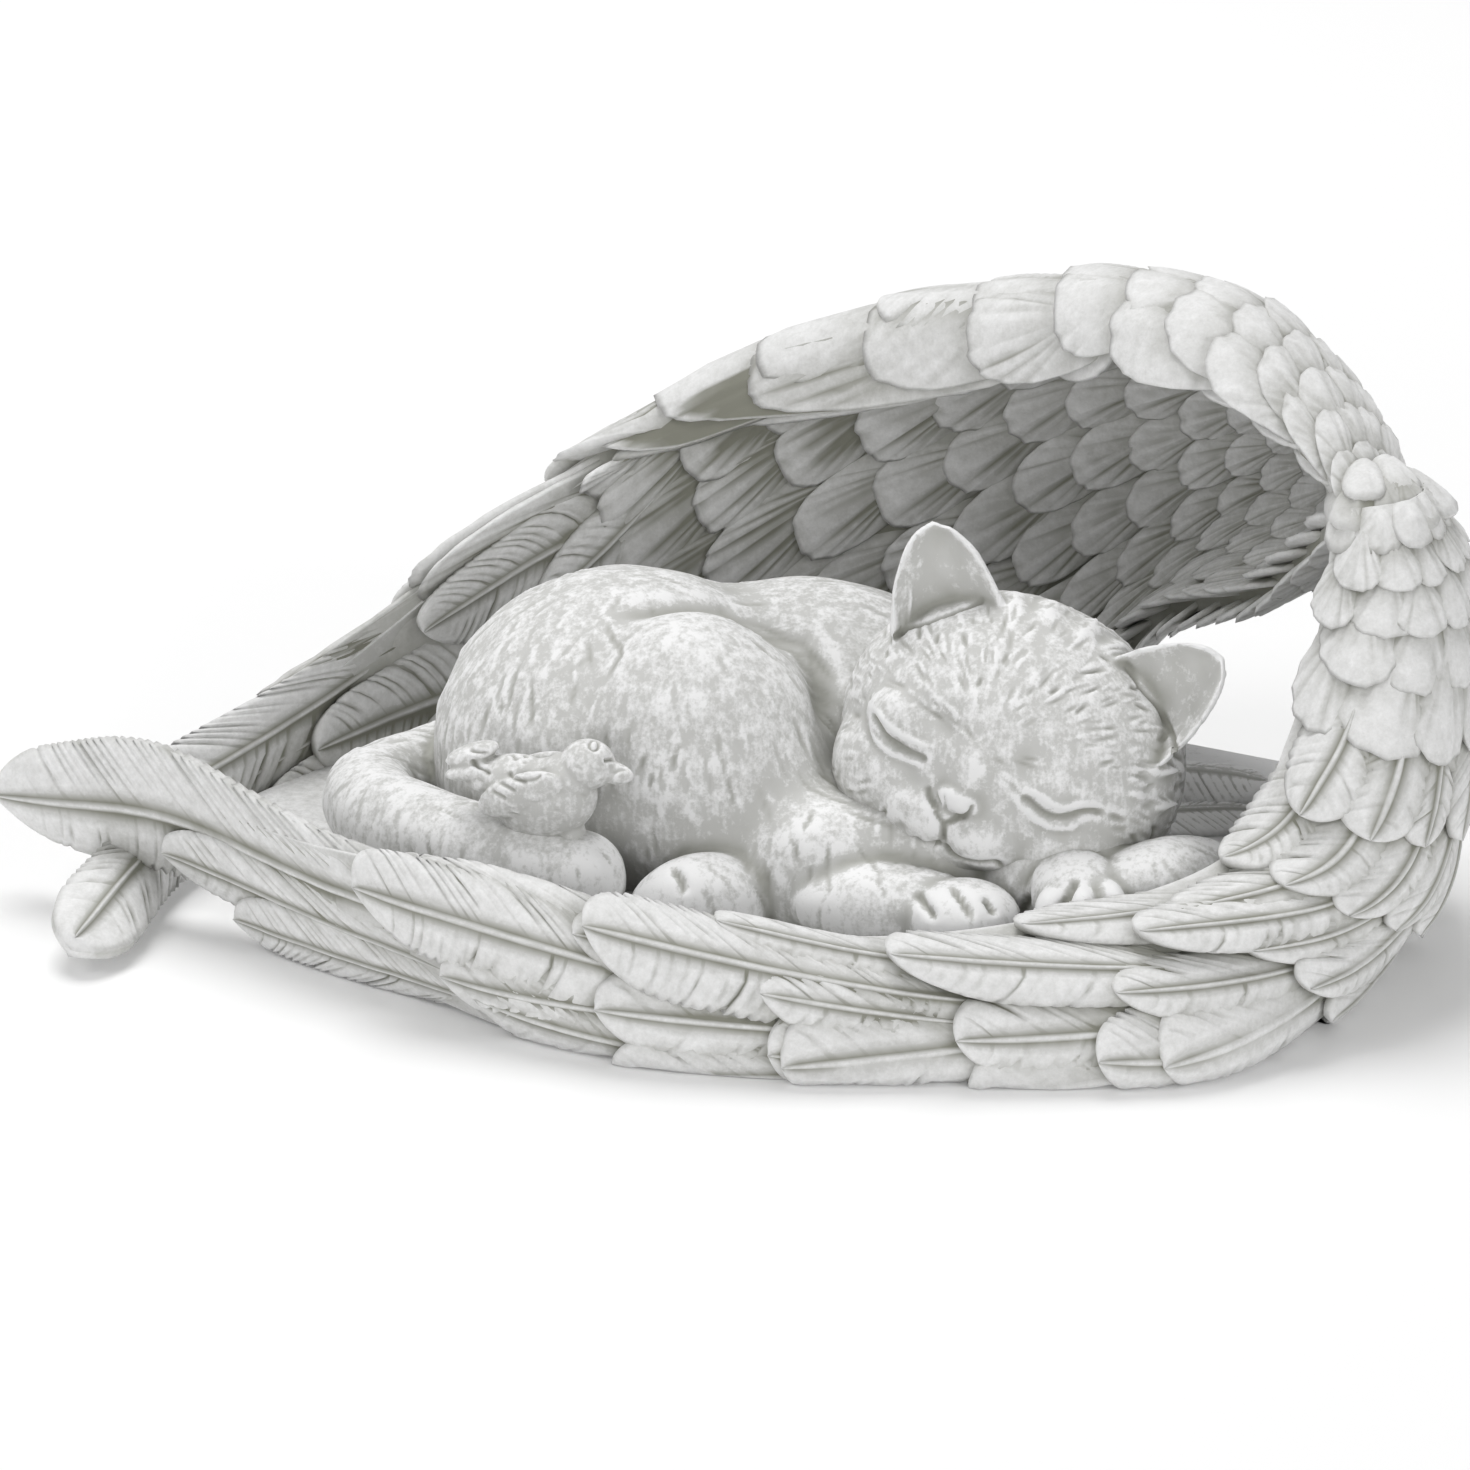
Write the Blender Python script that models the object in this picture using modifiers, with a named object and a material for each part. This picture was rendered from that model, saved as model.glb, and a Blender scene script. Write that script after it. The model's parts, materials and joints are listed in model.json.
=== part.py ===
"""Pet memorial statue: a cat asleep in a nest made by two folded wings, a small bird perched on its tail.

The real thing is one casting in white stone resin, so this is one closed solid. Metres, +Z up. The origin is
the middle of the flat underside. The cat's face looks out along -Y, the wings' wrists stand at +X and their
tips cross at -X.
"""

import math

import bmesh
import bpy
import numpy as np
from mathutils import Euler, Matrix, Vector

# Driving dimensions
STATUE_LENGTH = 0.273
STATUE_DEPTH = 0.163
STATUE_HEIGHT = 0.113
WING_THICKNESS = 0.0040
FEATHER_THICKNESS = 0.0031
SHEET_END = 0.90
SHEET_TAPER = 0.85
NEST_HEIGHT = 0.012
NEST_INSET = 0.0003
CAT_LENGTH = 0.140
EAR_THICKNESS = 0.0030
TAIL_RADIUS = 0.0088
BIRD_LENGTH = 0.031

# Coverts, the short feathers, lie in rows that start at the wrist. Each row's step grows with its distance from
# the wrist. The fans are turns in degrees towards the rim, of a covert at the foot rail and of one at the rim
BACK_STEP = 0.0055
BACK_STEP_GROWTH = 0.085
BACK_FAN = (-25, 3)
BACK_COVERTS_END = 0.66
FRONT_STEP = 0.0055
FRONT_STEP_GROWTH = 0.22
FRONT_FAN = (-8, 8)
FRONT_COVERTS_END = 0.80
LONGEST_STEP = 0.030
HIDDEN_FACE_STEP = 2.0
FEATHER_WIDTH_SHARE = 1.15
NARROWEST_FEATHER = 0.0100
WIDEST_FEATHER = 0.0160
FEATHER_LENGTH_SHARE = 2.1
LONGEST_FEATHER = 0.056
FEATHER_SPACING_SHARE = 0.82

# A feather's root lies this far under the sheet's face and its tip this far above, in feather thicknesses
ROOT_SINK = 0.9
TIP_RISE = 1.5
TIP_THICKNESS = 0.0055

# The outline of a feather: half its width at the root as a share of the widest, and where it is widest
ROOT_WIDTH = 0.55
FULLEST = 0.6
TIP_ROUNDNESS = 0.85

# How finely the forms are joined into one skin, and how many triangles that skin keeps. Within reach of the
# cat's face and of the bird, triangles are thinned last
SKIN_GRAIN = 0.0010
SKIN_TRIANGLES = 9600
BLEND_PASSES = 1
FACE_CARE = 0.06
FACE_REACH = 0.024

# The rails and the long feathers are drawn in millimetres on a statue of this size, and stretched to the
# driving dimensions
DRAWN_SIZE = np.array([273.0, 163.0, 113.0])
DRAWN_MIDDLE = np.array([0.4, -3.5, 0.0])
STRETCH = np.array([STATUE_LENGTH, STATUE_DEPTH, STATUE_HEIGHT]) / DRAWN_SIZE

# The primaries are the long feathers along each rim and at each tip: where the tip lies on the sheet (share
# from wrist to tip, share from foot to rim), then length, width and turn in degrees towards the rim
BACK_TIP = [(1.00, 0.50, 120, 20, 0)]
FRONT_TIP = [(1.02, 0.55, 105, 18.5, -1)]
BACK_PRIMARIES = [
    (0.83, 0.18, 76, 16, 0),
    (0.90, 0.84, 80, 15, 0),
    (0.79, 0.46, 70, 17, 2),
    (0.705, 0.90, 70, 16, 7),
    (0.73, 0.18, 60, 16, -3),
    (0.62, 0.91, 68, 16, 8),
    (0.50, 0.93, 55, 15.5, 9),
    (0.42, 0.94, 40, 14, 9),
    (0.35, 0.95, 32, 12.5, 9),
]
FRONT_PRIMARIES = [
    (0.90, 0.38, 80, 14, 0),
    (0.84, 0.10, 60, 13, -2),
    (0.762, 0.82, 55, 16, 11),
    (0.66, 0.82, 55, 16, 11),
    (0.55, 0.82, 52, 16, 11),
    (0.443, 0.80, 45, 15, 9),
    (0.72, 0.28, 55, 15, 4),
    (0.61, 0.28, 50, 15, 4),
    (0.50, 0.28, 50, 15, 4),
]

# The bed between the wings runs to this corner at the open side, where three feathers lie flat on the ground:
# centre, half sizes and turns in degrees. Elsewhere its edge follows these stretches of the foot rails
BED_ALONG_BACK = (0.36, 0.93)
BED_ALONG_FRONT = (0.30, 0.86)
SILL_CORNER = (104, 36, 0)
SILL_FEATHERS = [
    ((93, 27, 12), (17, 6.5, 2.2), (0, -4, 6)),
    ((97, 36, 8), (17, 6.5, 2.2), (0, 0, 14)),
    ((90, 18, 13), (15, 6.0, 2.2), (0, -4, -4)),
]

# Each wing is a sheet over four rails that run from its wrist to its tip
BACK_WING = {
    "foot": [
        (107, -10, 76), (98, 14, 55), (82, 42, 40), (58, 60, 8), (20, 66, 0),
        (-25, 62, 0), (-68, 42, 0), (-99, 5, 0), (-108, -40, 2),
    ],
    "belly": [
        (114, -7, 76), (117, 10, 76), (101, 47, 68), (68, 67, 56), (22, 73, 41),
        (-26, 67, 26), (-70, 46, 14), (-102, 8, 8), (-115, -37, 4),
    ],
    "ridge": [
        (114, -11, 83), (109, 6, 94), (94, 29, 102), (61, 50, 97), (13, 67, 76),
        (-28, 64, 49), (-72, 45, 25), (-105, 9, 13), (-122, -34, 7),
    ],
    "rim": [
        (107, -19, 84), (98, -8, 93), (80, 5, 101), (56, 30, 96), (3, 59, 80),
        (-32, 57, 61), (-76, 41, 31), (-109, 9, 17), (-128, -31, 9),
    ],
}
FRONT_WING = {
    "foot": [
        (115, -12, 82), (119, 4, 66), (121, 14, 38), (116, 0, 0), (88, -68, 0),
        (35, -76, 0), (-20, -66, 0), (-62, -40, 2), (-95, -13, 5), (-127, 1, 9),
    ],
    "belly": [
        (121, -18, 83), (130, -14, 66), (131, -15, 38), (122, -34, 14), (86, -75, 8),
        (34, -79, 6), (-22, -70, 8), (-63, -42, 11), (-98, -13, 14), (-129, 2, 15),
    ],
    "ridge": [
        (117, -27, 83), (121, -36, 66), (119, -48, 42), (108, -58, 25), (75, -72, 17),
        (28, -75, 15), (-26, -66, 18), (-67, -42, 21), (-102, -12, 24), (-131, 3, 21),
    ],
    "rim": [
        (106, -24, 81), (104, -31, 66), (98, -40, 47), (87, -49, 28), (56, -62, 22),
        (15, -67, 20), (-31, -59, 26), (-72, -39, 29), (-106, -9, 33), (-132, 5, 27),
    ],
}

# The cat's lumps of clay, in millimetres on a cat this long: centre, half sizes, and turns about X, Y and Z in
# degrees
DRAWN_CAT = 140.0
CAT_MIDDLE = (10.0, -5.0, 12.0)
CAT_LUMPS = [
    ((-20, 6, 27), (36, 35, 34), (0, 0, 0)),
    ((14, 17, 22), (40, 31, 33), (0, 8, 0)),
    ((-6, -13, 30), (24, 21, 31), (0, -12, 0)),
    ((38, 6, 22), (30, 24, 26), (0, 0, 0)),
    ((15, -33, 19), (15, 14, 16), (0, 0, 0)),
    ((-6, -40, 16), (13, 9, 9), (0, 0, 20)),
    ((36, -27, 22), (19, 14, 14), (0, 0, 0)),
    ((58, -34, 19), (16, 13, 12), (0, 0, 0)),
    ((27, -44, 17), (18, 9, 8), (0, 0, -12)),
    ((40, -51, 18), (10, 9, 7), (0, 0, 0)),
    ((59, -50, 20), (9, 10, 8), (0, 0, 20)),
    ((76, -42, 20), (16, 9, 9), (0, 0, 30)),
]
TAIL_PATH = [(-58, 28, 20), (-68, 4, 21), (-64, -14, 22), (-51, -27, 22), (-37, -35, 21), (-28, -38, 20)]

# The head has its own frame: X to the cat's left as seen, Y into the head, Z up through the crown
HEAD_CENTRE = (50, -17, 37)
HEAD_TURNS = (-4, 20, -18)
HEAD_LUMPS = [
    ((0, 0, 0), (32, 26, 27)),
    ((-14, -10, -8), (15, 14, 13)),
    ((14, -10, -8), (15, 14, 13)),
    ((-4.8, -22.5, -9.5), (7.2, 6.5, 5.4)),
    ((4.8, -22.5, -9.5), (7.2, 6.5, 5.4)),
    ((0, -23.5, -2.5), (4.2, 5.5, 6.5)),
    ((0, -20, -15.5), (8, 5.5, 4.5)),
    ((-12.5, -18.5, 1.5), (8, 6, 5.5)),
    ((12.5, -18.5, 1.5), (8, 6, 5.5)),
]
FACE_MIDDLE = (0, -22, -8)
EAR_BASE = (19.5, -1, 17)
EAR_HEIGHT, EAR_WIDTH, EAR_CUP = 22.0, 22.0, 6.0
EAR_TURNS = (0, 30, -18)

# The bird has its own frame, with X towards the beak, and its lumps are shares of its length: centre, half
# sizes and turn about Y in degrees
BIRD_PLACE = (-34, -35, 34)
BIRD_HEADING = -14.0
BIRD_LUMPS = [
    ((0.02, 0, 0), (0.31, 0.20, 0.24), 20),
    ((0.27, 0, 0.24), (0.15, 0.14, 0.14), 0),
    ((0.42, 0, 0.18), (0.11, 0.05, 0.05), 10),
    ((-0.36, 0, 0.17), (0.20, 0.09, 0.055), 28),
    ((-0.08, -0.15, 0.07), (0.24, 0.07, 0.14), 25),
    ((-0.08, 0.15, 0.07), (0.24, 0.07, 0.14), 25),
    ((0.02, 0, -0.24), (0.16, 0.14, 0.16), 0),
]

STONE = (0.74, 0.74, 0.71, 1.0)


def along(points, position):
    """A smooth curve through the points. Position runs from 0 at the first to 1 at the last."""
    rail = np.asarray(points, float)
    last = len(rail) - 1
    rail = np.vstack([2 * rail[0] - rail[1], rail, 2 * rail[-1] - rail[-2]])
    step = np.clip(np.asarray(position, float), 0, 1) * last
    span = np.clip(np.floor(step).astype(int), 0, last - 1)
    f = (step - span)[..., None]
    before, start, end, after = (rail[span + k] for k in range(4))
    slope = (end - before) * f
    bend = (2 * before - 5 * start + 4 * end - after) * f**2
    twist = (3 * start - before - 3 * end + after) * f**3
    return 0.5 * (2 * start + slope + bend + twist)


def to_statue(drawn):
    """Drawn millimetres to the statue's metres."""
    return (np.asarray(drawn, float) - DRAWN_MIDDLE) * STRETCH


def on_sheet(rails, s, t):
    """Points of a wing's middle sheet: s from wrist 0 to tip 1, t from the foot rail 0 to the rim 1."""
    knots = np.arange(4) / 3
    point = 0
    for i, name in enumerate(("foot", "belly", "ridge", "rim")):
        weight = 1.0
        for j in range(4):
            if j != i:
                weight = weight * (t - knots[j]) / (knots[i] - knots[j])
        point = point + along(rails[name], s) * np.asarray(weight)[..., None]
    return to_statue(point)


def sheet_frame(rails, s, t):
    """Point, slope along s, slope along t and outward normal. Past the sheet's edges it runs on straight."""
    s, t = np.broadcast_arrays(np.asarray(s, float), np.asarray(t, float))
    small = 0.004
    s_in, t_in = np.clip(s, small, 1 - small), np.clip(t, small, 1 - small)
    ds = (on_sheet(rails, s_in + small, t_in) - on_sheet(rails, s_in - small, t_in)) / (2 * small)
    dt = (on_sheet(rails, s_in, t_in + small) - on_sheet(rails, s_in, t_in - small)) / (2 * small)
    point = on_sheet(rails, s_in, t_in) + ds * (s - s_in)[..., None] + dt * (t - t_in)[..., None]
    normal = np.cross(ds, dt)
    normal /= np.linalg.norm(normal, axis=-1, keepdims=True)
    return point, ds, dt, normal


def outward(rails):
    """+1 if the sheet's normal points away from the nest, otherwise -1."""
    point, _, _, normal = sheet_frame(rails, 0.55, 0.5)
    return 1.0 if normal @ (point * (1, 1, 0)) > 0 else -1.0


def new_object(name, mesh_or_curve, collection):
    made = bpy.data.objects.new(name, mesh_or_curve)
    collection.objects.link(made)
    return made


def baked(obj):
    """The object's mesh with its modifiers applied. The object itself was only a helper, so it goes."""
    bpy.context.view_layer.update()
    graph = bpy.context.evaluated_depsgraph_get()
    mesh = bpy.data.meshes.new_from_object(obj.evaluated_get(graph))
    bpy.data.objects.remove(obj, do_unlink=True)
    return mesh


def pile(name, pieces):
    """Many closed pieces, each given as points and faces, in one mesh."""
    points, faces, start = [], [], 0
    for piece_points, piece_faces in pieces:
        points.append(piece_points)
        faces += [[start + corner for corner in corners] for corners in piece_faces]
        start += len(piece_points)
    mesh = bpy.data.meshes.new(name)
    mesh.from_pydata(np.vstack(points).tolist(), [], faces)
    return mesh


def wing_sheet(name, rails, guides):
    """A wing's core: a grid bent over the rails and given its thickness."""
    bm = bmesh.new()
    bmesh.ops.create_grid(bm, x_segments=64, y_segments=18, size=0.5)
    flat = np.array([v.co for v in bm.verts]) + 0.5
    rounding = np.sqrt(1 - np.clip((flat[:, 0] - SHEET_TAPER) / (1 - SHEET_TAPER), 0, 1) ** 2 * 0.9)
    across = 0.5 + (flat[:, 1] - 0.5) * rounding
    point, _, _, _ = sheet_frame(rails, flat[:, 0] * SHEET_END, across)
    for vert, place in zip(bm.verts, point):
        vert.co = place
    mesh = bpy.data.meshes.new(name)
    bm.to_mesh(mesh)
    bm.free()
    sheet = new_object(name, mesh, guides)
    solid = sheet.modifiers.new("Thickness", "SOLIDIFY")
    solid.thickness = WING_THICKNESS
    solid.offset = 0.0
    solid.use_even_offset = True
    return baked(sheet)


def blade(share, root, fullest, tip_start):
    """Half width of a leaf-like plate as a share of its widest, at a share of its length."""
    swell = root + (1 - root) * np.sin(np.clip(share / fullest, 0, 1) * math.pi / 2)
    rounding = np.clip((share - tip_start) / (1 - tip_start), 0, 1)
    return swell * np.sqrt(1 - rounding**2)


def plate(rings, sides):
    """A thin plate to bend: a sphere with its poles on X, as share along, across -1..1, up -1..1 and faces."""
    bm = bmesh.new()
    poles_on_x = Matrix.Rotation(math.radians(90), 4, "Y")
    bmesh.ops.create_uvsphere(bm, u_segments=sides, v_segments=rings, radius=1, matrix=poles_on_x)
    unit = np.array([v.co for v in bm.verts])
    faces = [[v.index for v in face.verts] for face in bm.faces]
    bm.free()
    ring = np.maximum(np.sqrt(np.clip(1 - unit[:, 0] ** 2, 0, 1)), 1e-6)
    return (unit[:, 0] + 1) / 2, unit[:, 1] / ring, unit[:, 2] / ring, faces


def covert_rows(rails, first_step, growth, fan, end):
    """Yields (tip share along, tip share across, length, width, turn) for each covert, row by row."""
    spots = np.linspace(0, 1, 200)
    middle, _, _, _ = sheet_frame(rails, spots, 0.6)
    reach = np.concatenate([[0], np.cumsum(np.linalg.norm(np.diff(middle, axis=0), axis=1))])
    tip, row = first_step, 0
    while tip < np.interp(end, spots, reach):
        step = min(first_step + growth * tip, LONGEST_STEP)
        s = float(np.interp(tip, reach, spots))
        width = float(np.clip(step * FEATHER_WIDTH_SHARE, NARROWEST_FEATHER, WIDEST_FEATHER))
        column, _, _, _ = sheet_frame(rails, s, np.linspace(0, 1, 30))
        tall = np.linalg.norm(np.diff(column, axis=0), axis=1).sum()
        across = max(2, round(tall / (width * FEATHER_SPACING_SHARE)))
        for column in range(across):
            t = (column + 0.5 + 0.25 * (-1) ** row) / across
            turn = fan[0] + (fan[1] - fan[0]) * t
            yield s, t, min(step * FEATHER_LENGTH_SHARE, LONGEST_FEATHER), width, turn
        tip, row = tip + max(step, NARROWEST_FEATHER * 0.8), row + 1


def drawn_feathers(specs):
    """Primaries with their length and width in metres."""
    return [(s, t, length * STRETCH[0], width * STRETCH[0], turn) for s, t, length, width, turn in specs]


def laid_feathers(name, rails, specs, lift):
    """Feathers bent over a wing's sheet. Lift gives a point's height off it, from its shares along and up."""
    share, across, up, faces = plate(rings=9, sides=10)
    tip_s, tip_t, length, width, turn = (column[:, None] for column in np.array(specs).T)
    _, ds, dt, _ = sheet_frame(rails, tip_s, tip_t)
    run = (share - 1) * length
    side = across * blade(share, ROOT_WIDTH, FULLEST, 1 - TIP_ROUNDNESS * width / length) * width / 2
    cos, sin = np.cos(np.radians(turn)), np.sin(np.radians(turn))
    s = np.maximum(tip_s + (run * cos - side * sin) / np.linalg.norm(ds, axis=-1), 0.0)
    t = tip_t + (run * sin + side * cos) / np.linalg.norm(dt, axis=-1)
    point, _, _, normal = sheet_frame(rails, s, t)
    feathers = point + normal * lift(share, up)[:, None]
    return pile(name, [(feather, faces) for feather in feathers])


def plumage(name, rails, face, coverts, primaries):
    """The feathers of one face of a wing: each root is sunk in the sheet and each tip stands proud."""

    def lift(share, up):
        height = WING_THICKNESS / 2 + FEATHER_THICKNESS * (TIP_RISE * share - ROOT_SINK + up / 2)
        return face * outward(rails) * height

    return laid_feathers(name, rails, [*drawn_feathers(primaries), *covert_rows(rails, *coverts)], lift)


def tip_feather(name, rails, specs):
    """The long feather that ends a wing, in line with the sheet."""
    return laid_feathers(name, rails, drawn_feathers(specs), lambda share, up: up * TIP_THICKNESS / 2)


def nest_floor(guides):
    """The filled bed between the wings, cut to the line of both foot rails."""
    back, _, _, _ = sheet_frame(BACK_WING, np.linspace(*BED_ALONG_BACK, 30), 0.0)
    front, _, _, _ = sheet_frame(FRONT_WING, np.linspace(*BED_ALONG_FRONT, 34), 0.0)
    outline = np.vstack([back[::-1], [to_statue(SILL_CORNER)], front])[:, :2]
    middle = outline.mean(axis=0)
    away = outline - middle
    away -= away / np.linalg.norm(away, axis=1, keepdims=True) * NEST_INSET
    curve = bpy.data.curves.new("nest_floor", "CURVE")
    curve.dimensions = "2D"
    curve.fill_mode = "BOTH"
    curve.extrude = NEST_HEIGHT
    spline = curve.splines.new("POLY")
    spline.points.add(len(away) - 1)
    for point, (x, y) in zip(spline.points, away + middle):
        point.co = (x, y, 0, 1)
    spline.use_cyclic_u = True
    return baked(new_object("nest_floor", curve, guides))


def ball():
    """A unit ball of clay as points and faces."""
    bm = bmesh.new()
    bmesh.ops.create_icosphere(bm, subdivisions=4, radius=1)
    form = np.array([v.co for v in bm.verts]), [[v.index for v in face.verts] for face in bm.faces]
    bm.free()
    return form


def lump(form, place, centre, half_sizes, turns=(0, 0, 0)):
    """A lump of clay: the ball stretched to its half sizes, turned and set down in the frame of its place."""
    points, faces = form
    matrix = place @ Matrix.LocRotScale(Vector(centre), degrees(turns), Vector(half_sizes))
    return points @ np.array(matrix.to_3x3()).T + np.array(matrix.translation), faces


def degrees(turns):
    return Euler([math.radians(a) for a in turns], "XYZ").to_matrix()


def cat_place():
    """The frame that takes a point drawn on the cat to the statue. The cat keeps its shape on the bed."""
    x, y, _ = to_statue(CAT_MIDDLE)
    size = Matrix.Scale(CAT_LENGTH / DRAWN_CAT, 4)
    return Matrix.Translation((x, y, NEST_HEIGHT)) @ size @ Matrix.Translation(-Vector(CAT_MIDDLE))


def head_place():
    return cat_place() @ Matrix.Translation(HEAD_CENTRE) @ degrees(HEAD_TURNS).to_4x4()


def ear(side):
    """A cupped triangular plate that stands on the head, open towards the front. Side is -1 or 1."""
    share, across, up, faces = plate(rings=12, sides=12)
    half_width = across * EAR_WIDTH / 2 * blade(share, 1.0, 0.5, -0.15)
    depth = EAR_CUP * (across**2) * (1 - share) ** 0.5 * -1 + up * EAR_THICKNESS / 2 * DRAWN_CAT / CAT_LENGTH
    local = np.stack([half_width, depth, share * EAR_HEIGHT - 3], axis=1)
    turn = degrees((EAR_TURNS[0], side * EAR_TURNS[1], side * EAR_TURNS[2])).to_4x4()
    place = head_place() @ Matrix.Translation((side * EAR_BASE[0], EAR_BASE[1], EAR_BASE[2])) @ turn
    return local @ np.array(place.to_3x3()).T + np.array(place.translation), faces


def sill():
    """Feathers that lie flat on the ground at the nest's open side."""
    form = ball()
    scale = Matrix.Diagonal((*(STRETCH), 1))
    place = scale @ Matrix.Translation(-Vector(DRAWN_MIDDLE))
    return pile("sill", [lump(form, place, *spec) for spec in SILL_FEATHERS])


def cat():
    """Body, head, ears and paws as overlapping lumps."""
    form = ball()
    body = [lump(form, cat_place(), *spec) for spec in CAT_LUMPS]
    head = [lump(form, head_place(), *spec) for spec in HEAD_LUMPS]
    return pile("cat", [*body, *head, ear(-1), ear(1)])


def tail(guides):
    """A round bar along the tail's path, with a ball at its end."""
    spots = along(TAIL_PATH, np.linspace(0, 1, 14))
    place = cat_place()
    curve = bpy.data.curves.new("tail", "CURVE")
    curve.dimensions = "3D"
    curve.bevel_depth = TAIL_RADIUS
    curve.bevel_resolution = 4
    curve.use_fill_caps = True
    spline = curve.splines.new("POLY")
    spline.points.add(len(spots) - 1)
    for point, spot in zip(spline.points, spots):
        point.co = (*(place @ Vector(spot)), 1)
    bar = new_object("tail", curve, guides)
    end = lump(ball(), place, TAIL_PATH[-1], [TAIL_RADIUS * DRAWN_CAT / CAT_LENGTH] * 3)
    return [baked(bar), pile("tail_end", [end])]


def bird():
    """The bird as lumps, standing on the tail."""
    stand = cat_place() @ Vector(BIRD_PLACE)
    turn = Matrix.Rotation(math.radians(BIRD_HEADING), 4, "Z")
    place = Matrix.Translation(stand) @ turn @ Matrix.Scale(BIRD_LENGTH, 4)
    form = ball()
    return pile("bird", [lump(form, place, centre, size, (0, -pitch, 0)) for centre, size, pitch in BIRD_LUMPS])


def joined(name, meshes, guides):
    """Every form in one mesh, still overlapping."""
    bm = bmesh.new()
    for mesh in meshes:
        bm.from_mesh(mesh)
    mesh = bpy.data.meshes.new(name)
    bm.to_mesh(mesh)
    bm.free()
    return new_object(name, mesh, guides)


def one_skin(clay, guides):
    """Melts the overlapping forms into one closed skin, then thins it to few triangles."""
    remesh = clay.modifiers.new("One skin", "REMESH")
    remesh.mode = "VOXEL"
    remesh.voxel_size = SKIN_GRAIN
    smooth = clay.modifiers.new("Blend", "SMOOTH")
    smooth.iterations = BLEND_PASSES
    smooth.factor = 0.5
    bm = bmesh.new()
    bm.from_mesh(baked(clay))
    keep_largest_piece(bm)
    bmesh.ops.triangulate(bm, faces=bm.faces)
    mesh = bpy.data.meshes.new("skin")
    bm.to_mesh(mesh)
    bm.free()
    skin = new_object("skin", mesh, guides)
    thin = skin.modifiers.new("Fewer triangles", "DECIMATE")
    thin.ratio = SKIN_TRIANGLES / len(mesh.polygons)
    thin.vertex_group = spare_the_faces(skin)
    thin.vertex_group_factor = FACE_CARE
    return baked(skin)


def spare_the_faces(skin):
    """A vertex group that is full everywhere but on the cat's face and the bird, where triangles are kept."""
    points = np.array([v.co for v in skin.data.vertices])
    near = np.zeros(len(points), bool)
    face = head_place() @ Vector(FACE_MIDDLE)
    perch = cat_place() @ Vector(BIRD_PLACE)
    for middle, reach in ((face, FACE_REACH), (perch, BIRD_LENGTH * 0.6)):
        near |= np.linalg.norm(points - np.array(middle), axis=1) < reach
    group = skin.vertex_groups.new(name="free_to_thin")
    group.add(np.flatnonzero(~near).tolist(), 1.0, "REPLACE")
    group.add(np.flatnonzero(near).tolist(), 0.5, "REPLACE")
    return group.name


def keep_largest_piece(bm):
    """Deletes closed pockets and specks, which the melted skin may hold apart from its body."""
    left, pieces = set(bm.verts), []
    while left:
        seed = left.pop()
        piece, edge_of = {seed}, [seed]
        while edge_of:
            for edge in edge_of.pop().link_edges:
                for vert in edge.verts:
                    if vert in left:
                        left.discard(vert)
                        piece.add(vert)
                        edge_of.append(vert)
        pieces.append(piece)
    largest = max(pieces, key=len)
    bmesh.ops.delete(bm, geom=[v for v in bm.verts if v not in largest], context="VERTS")


def stand_flat(statue, guides):
    """Cuts everything under the ground plane away, so that the statue rests on one flat face."""
    deep = 0.05
    bm = bmesh.new()
    bmesh.ops.create_cube(bm, size=1, matrix=Matrix.Diagonal((2 * STATUE_LENGTH, 2 * STATUE_DEPTH, deep, 1)))
    mesh = bpy.data.meshes.new("ground")
    bm.to_mesh(mesh)
    bm.free()
    ground = new_object("ground", mesh, guides)
    ground.location.z = -deep / 2
    ground.hide_render = True
    ground.display_type = "WIRE"
    cut = statue.modifiers.new("Flat underside", "BOOLEAN")
    cut.operation = "DIFFERENCE"
    cut.object = ground


def stone_resin():
    material = bpy.data.materials.new("stone_resin")
    material.use_nodes = True
    shader = material.node_tree.nodes["Principled BSDF"]
    shader.inputs["Base Color"].default_value = STONE
    shader.inputs["Roughness"].default_value = 0.85
    return material


def plainer(coverts):
    """Larger and fewer coverts, for the faces that stay out of sight."""
    first_step, growth, fan, end = coverts
    return first_step * HIDDEN_FACE_STEP, growth * HIDDEN_FACE_STEP, fan, end


def main():
    for old in list(bpy.data.objects):
        bpy.data.objects.remove(old, do_unlink=True)
    guides = bpy.data.collections.new("guides")
    guides.hide_render = True
    finished = bpy.data.collections.new("pet_memorial_statue")
    for collection in (guides, finished):
        bpy.context.scene.collection.children.link(collection)
    back_coverts = BACK_STEP, BACK_STEP_GROWTH, BACK_FAN, BACK_COVERTS_END
    front_coverts = FRONT_STEP, FRONT_STEP_GROWTH, FRONT_FAN, FRONT_COVERTS_END
    forms = [
        wing_sheet("back_wing", BACK_WING, guides),
        wing_sheet("front_wing", FRONT_WING, guides),
        plumage("back_inner", BACK_WING, -1, back_coverts, BACK_PRIMARIES),
        plumage("back_outer", BACK_WING, 1, plainer(back_coverts), BACK_PRIMARIES),
        plumage("front_outer", FRONT_WING, 1, front_coverts, FRONT_PRIMARIES),
        plumage("front_inner", FRONT_WING, -1, plainer(front_coverts), FRONT_PRIMARIES),
        tip_feather("back_tip", BACK_WING, BACK_TIP),
        tip_feather("front_tip", FRONT_WING, FRONT_TIP),
        nest_floor(guides),
        sill(),
        cat(),
        *tail(guides),
        bird(),
    ]
    skin = one_skin(joined("clay", forms, guides), guides)
    statue = new_object("memorial_statue", skin, finished)
    skin.materials.append(stone_resin())
    skin.shade_smooth()
    skin.set_sharp_from_angle(angle=math.radians(35))
    stand_flat(statue, guides)


main()
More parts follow.
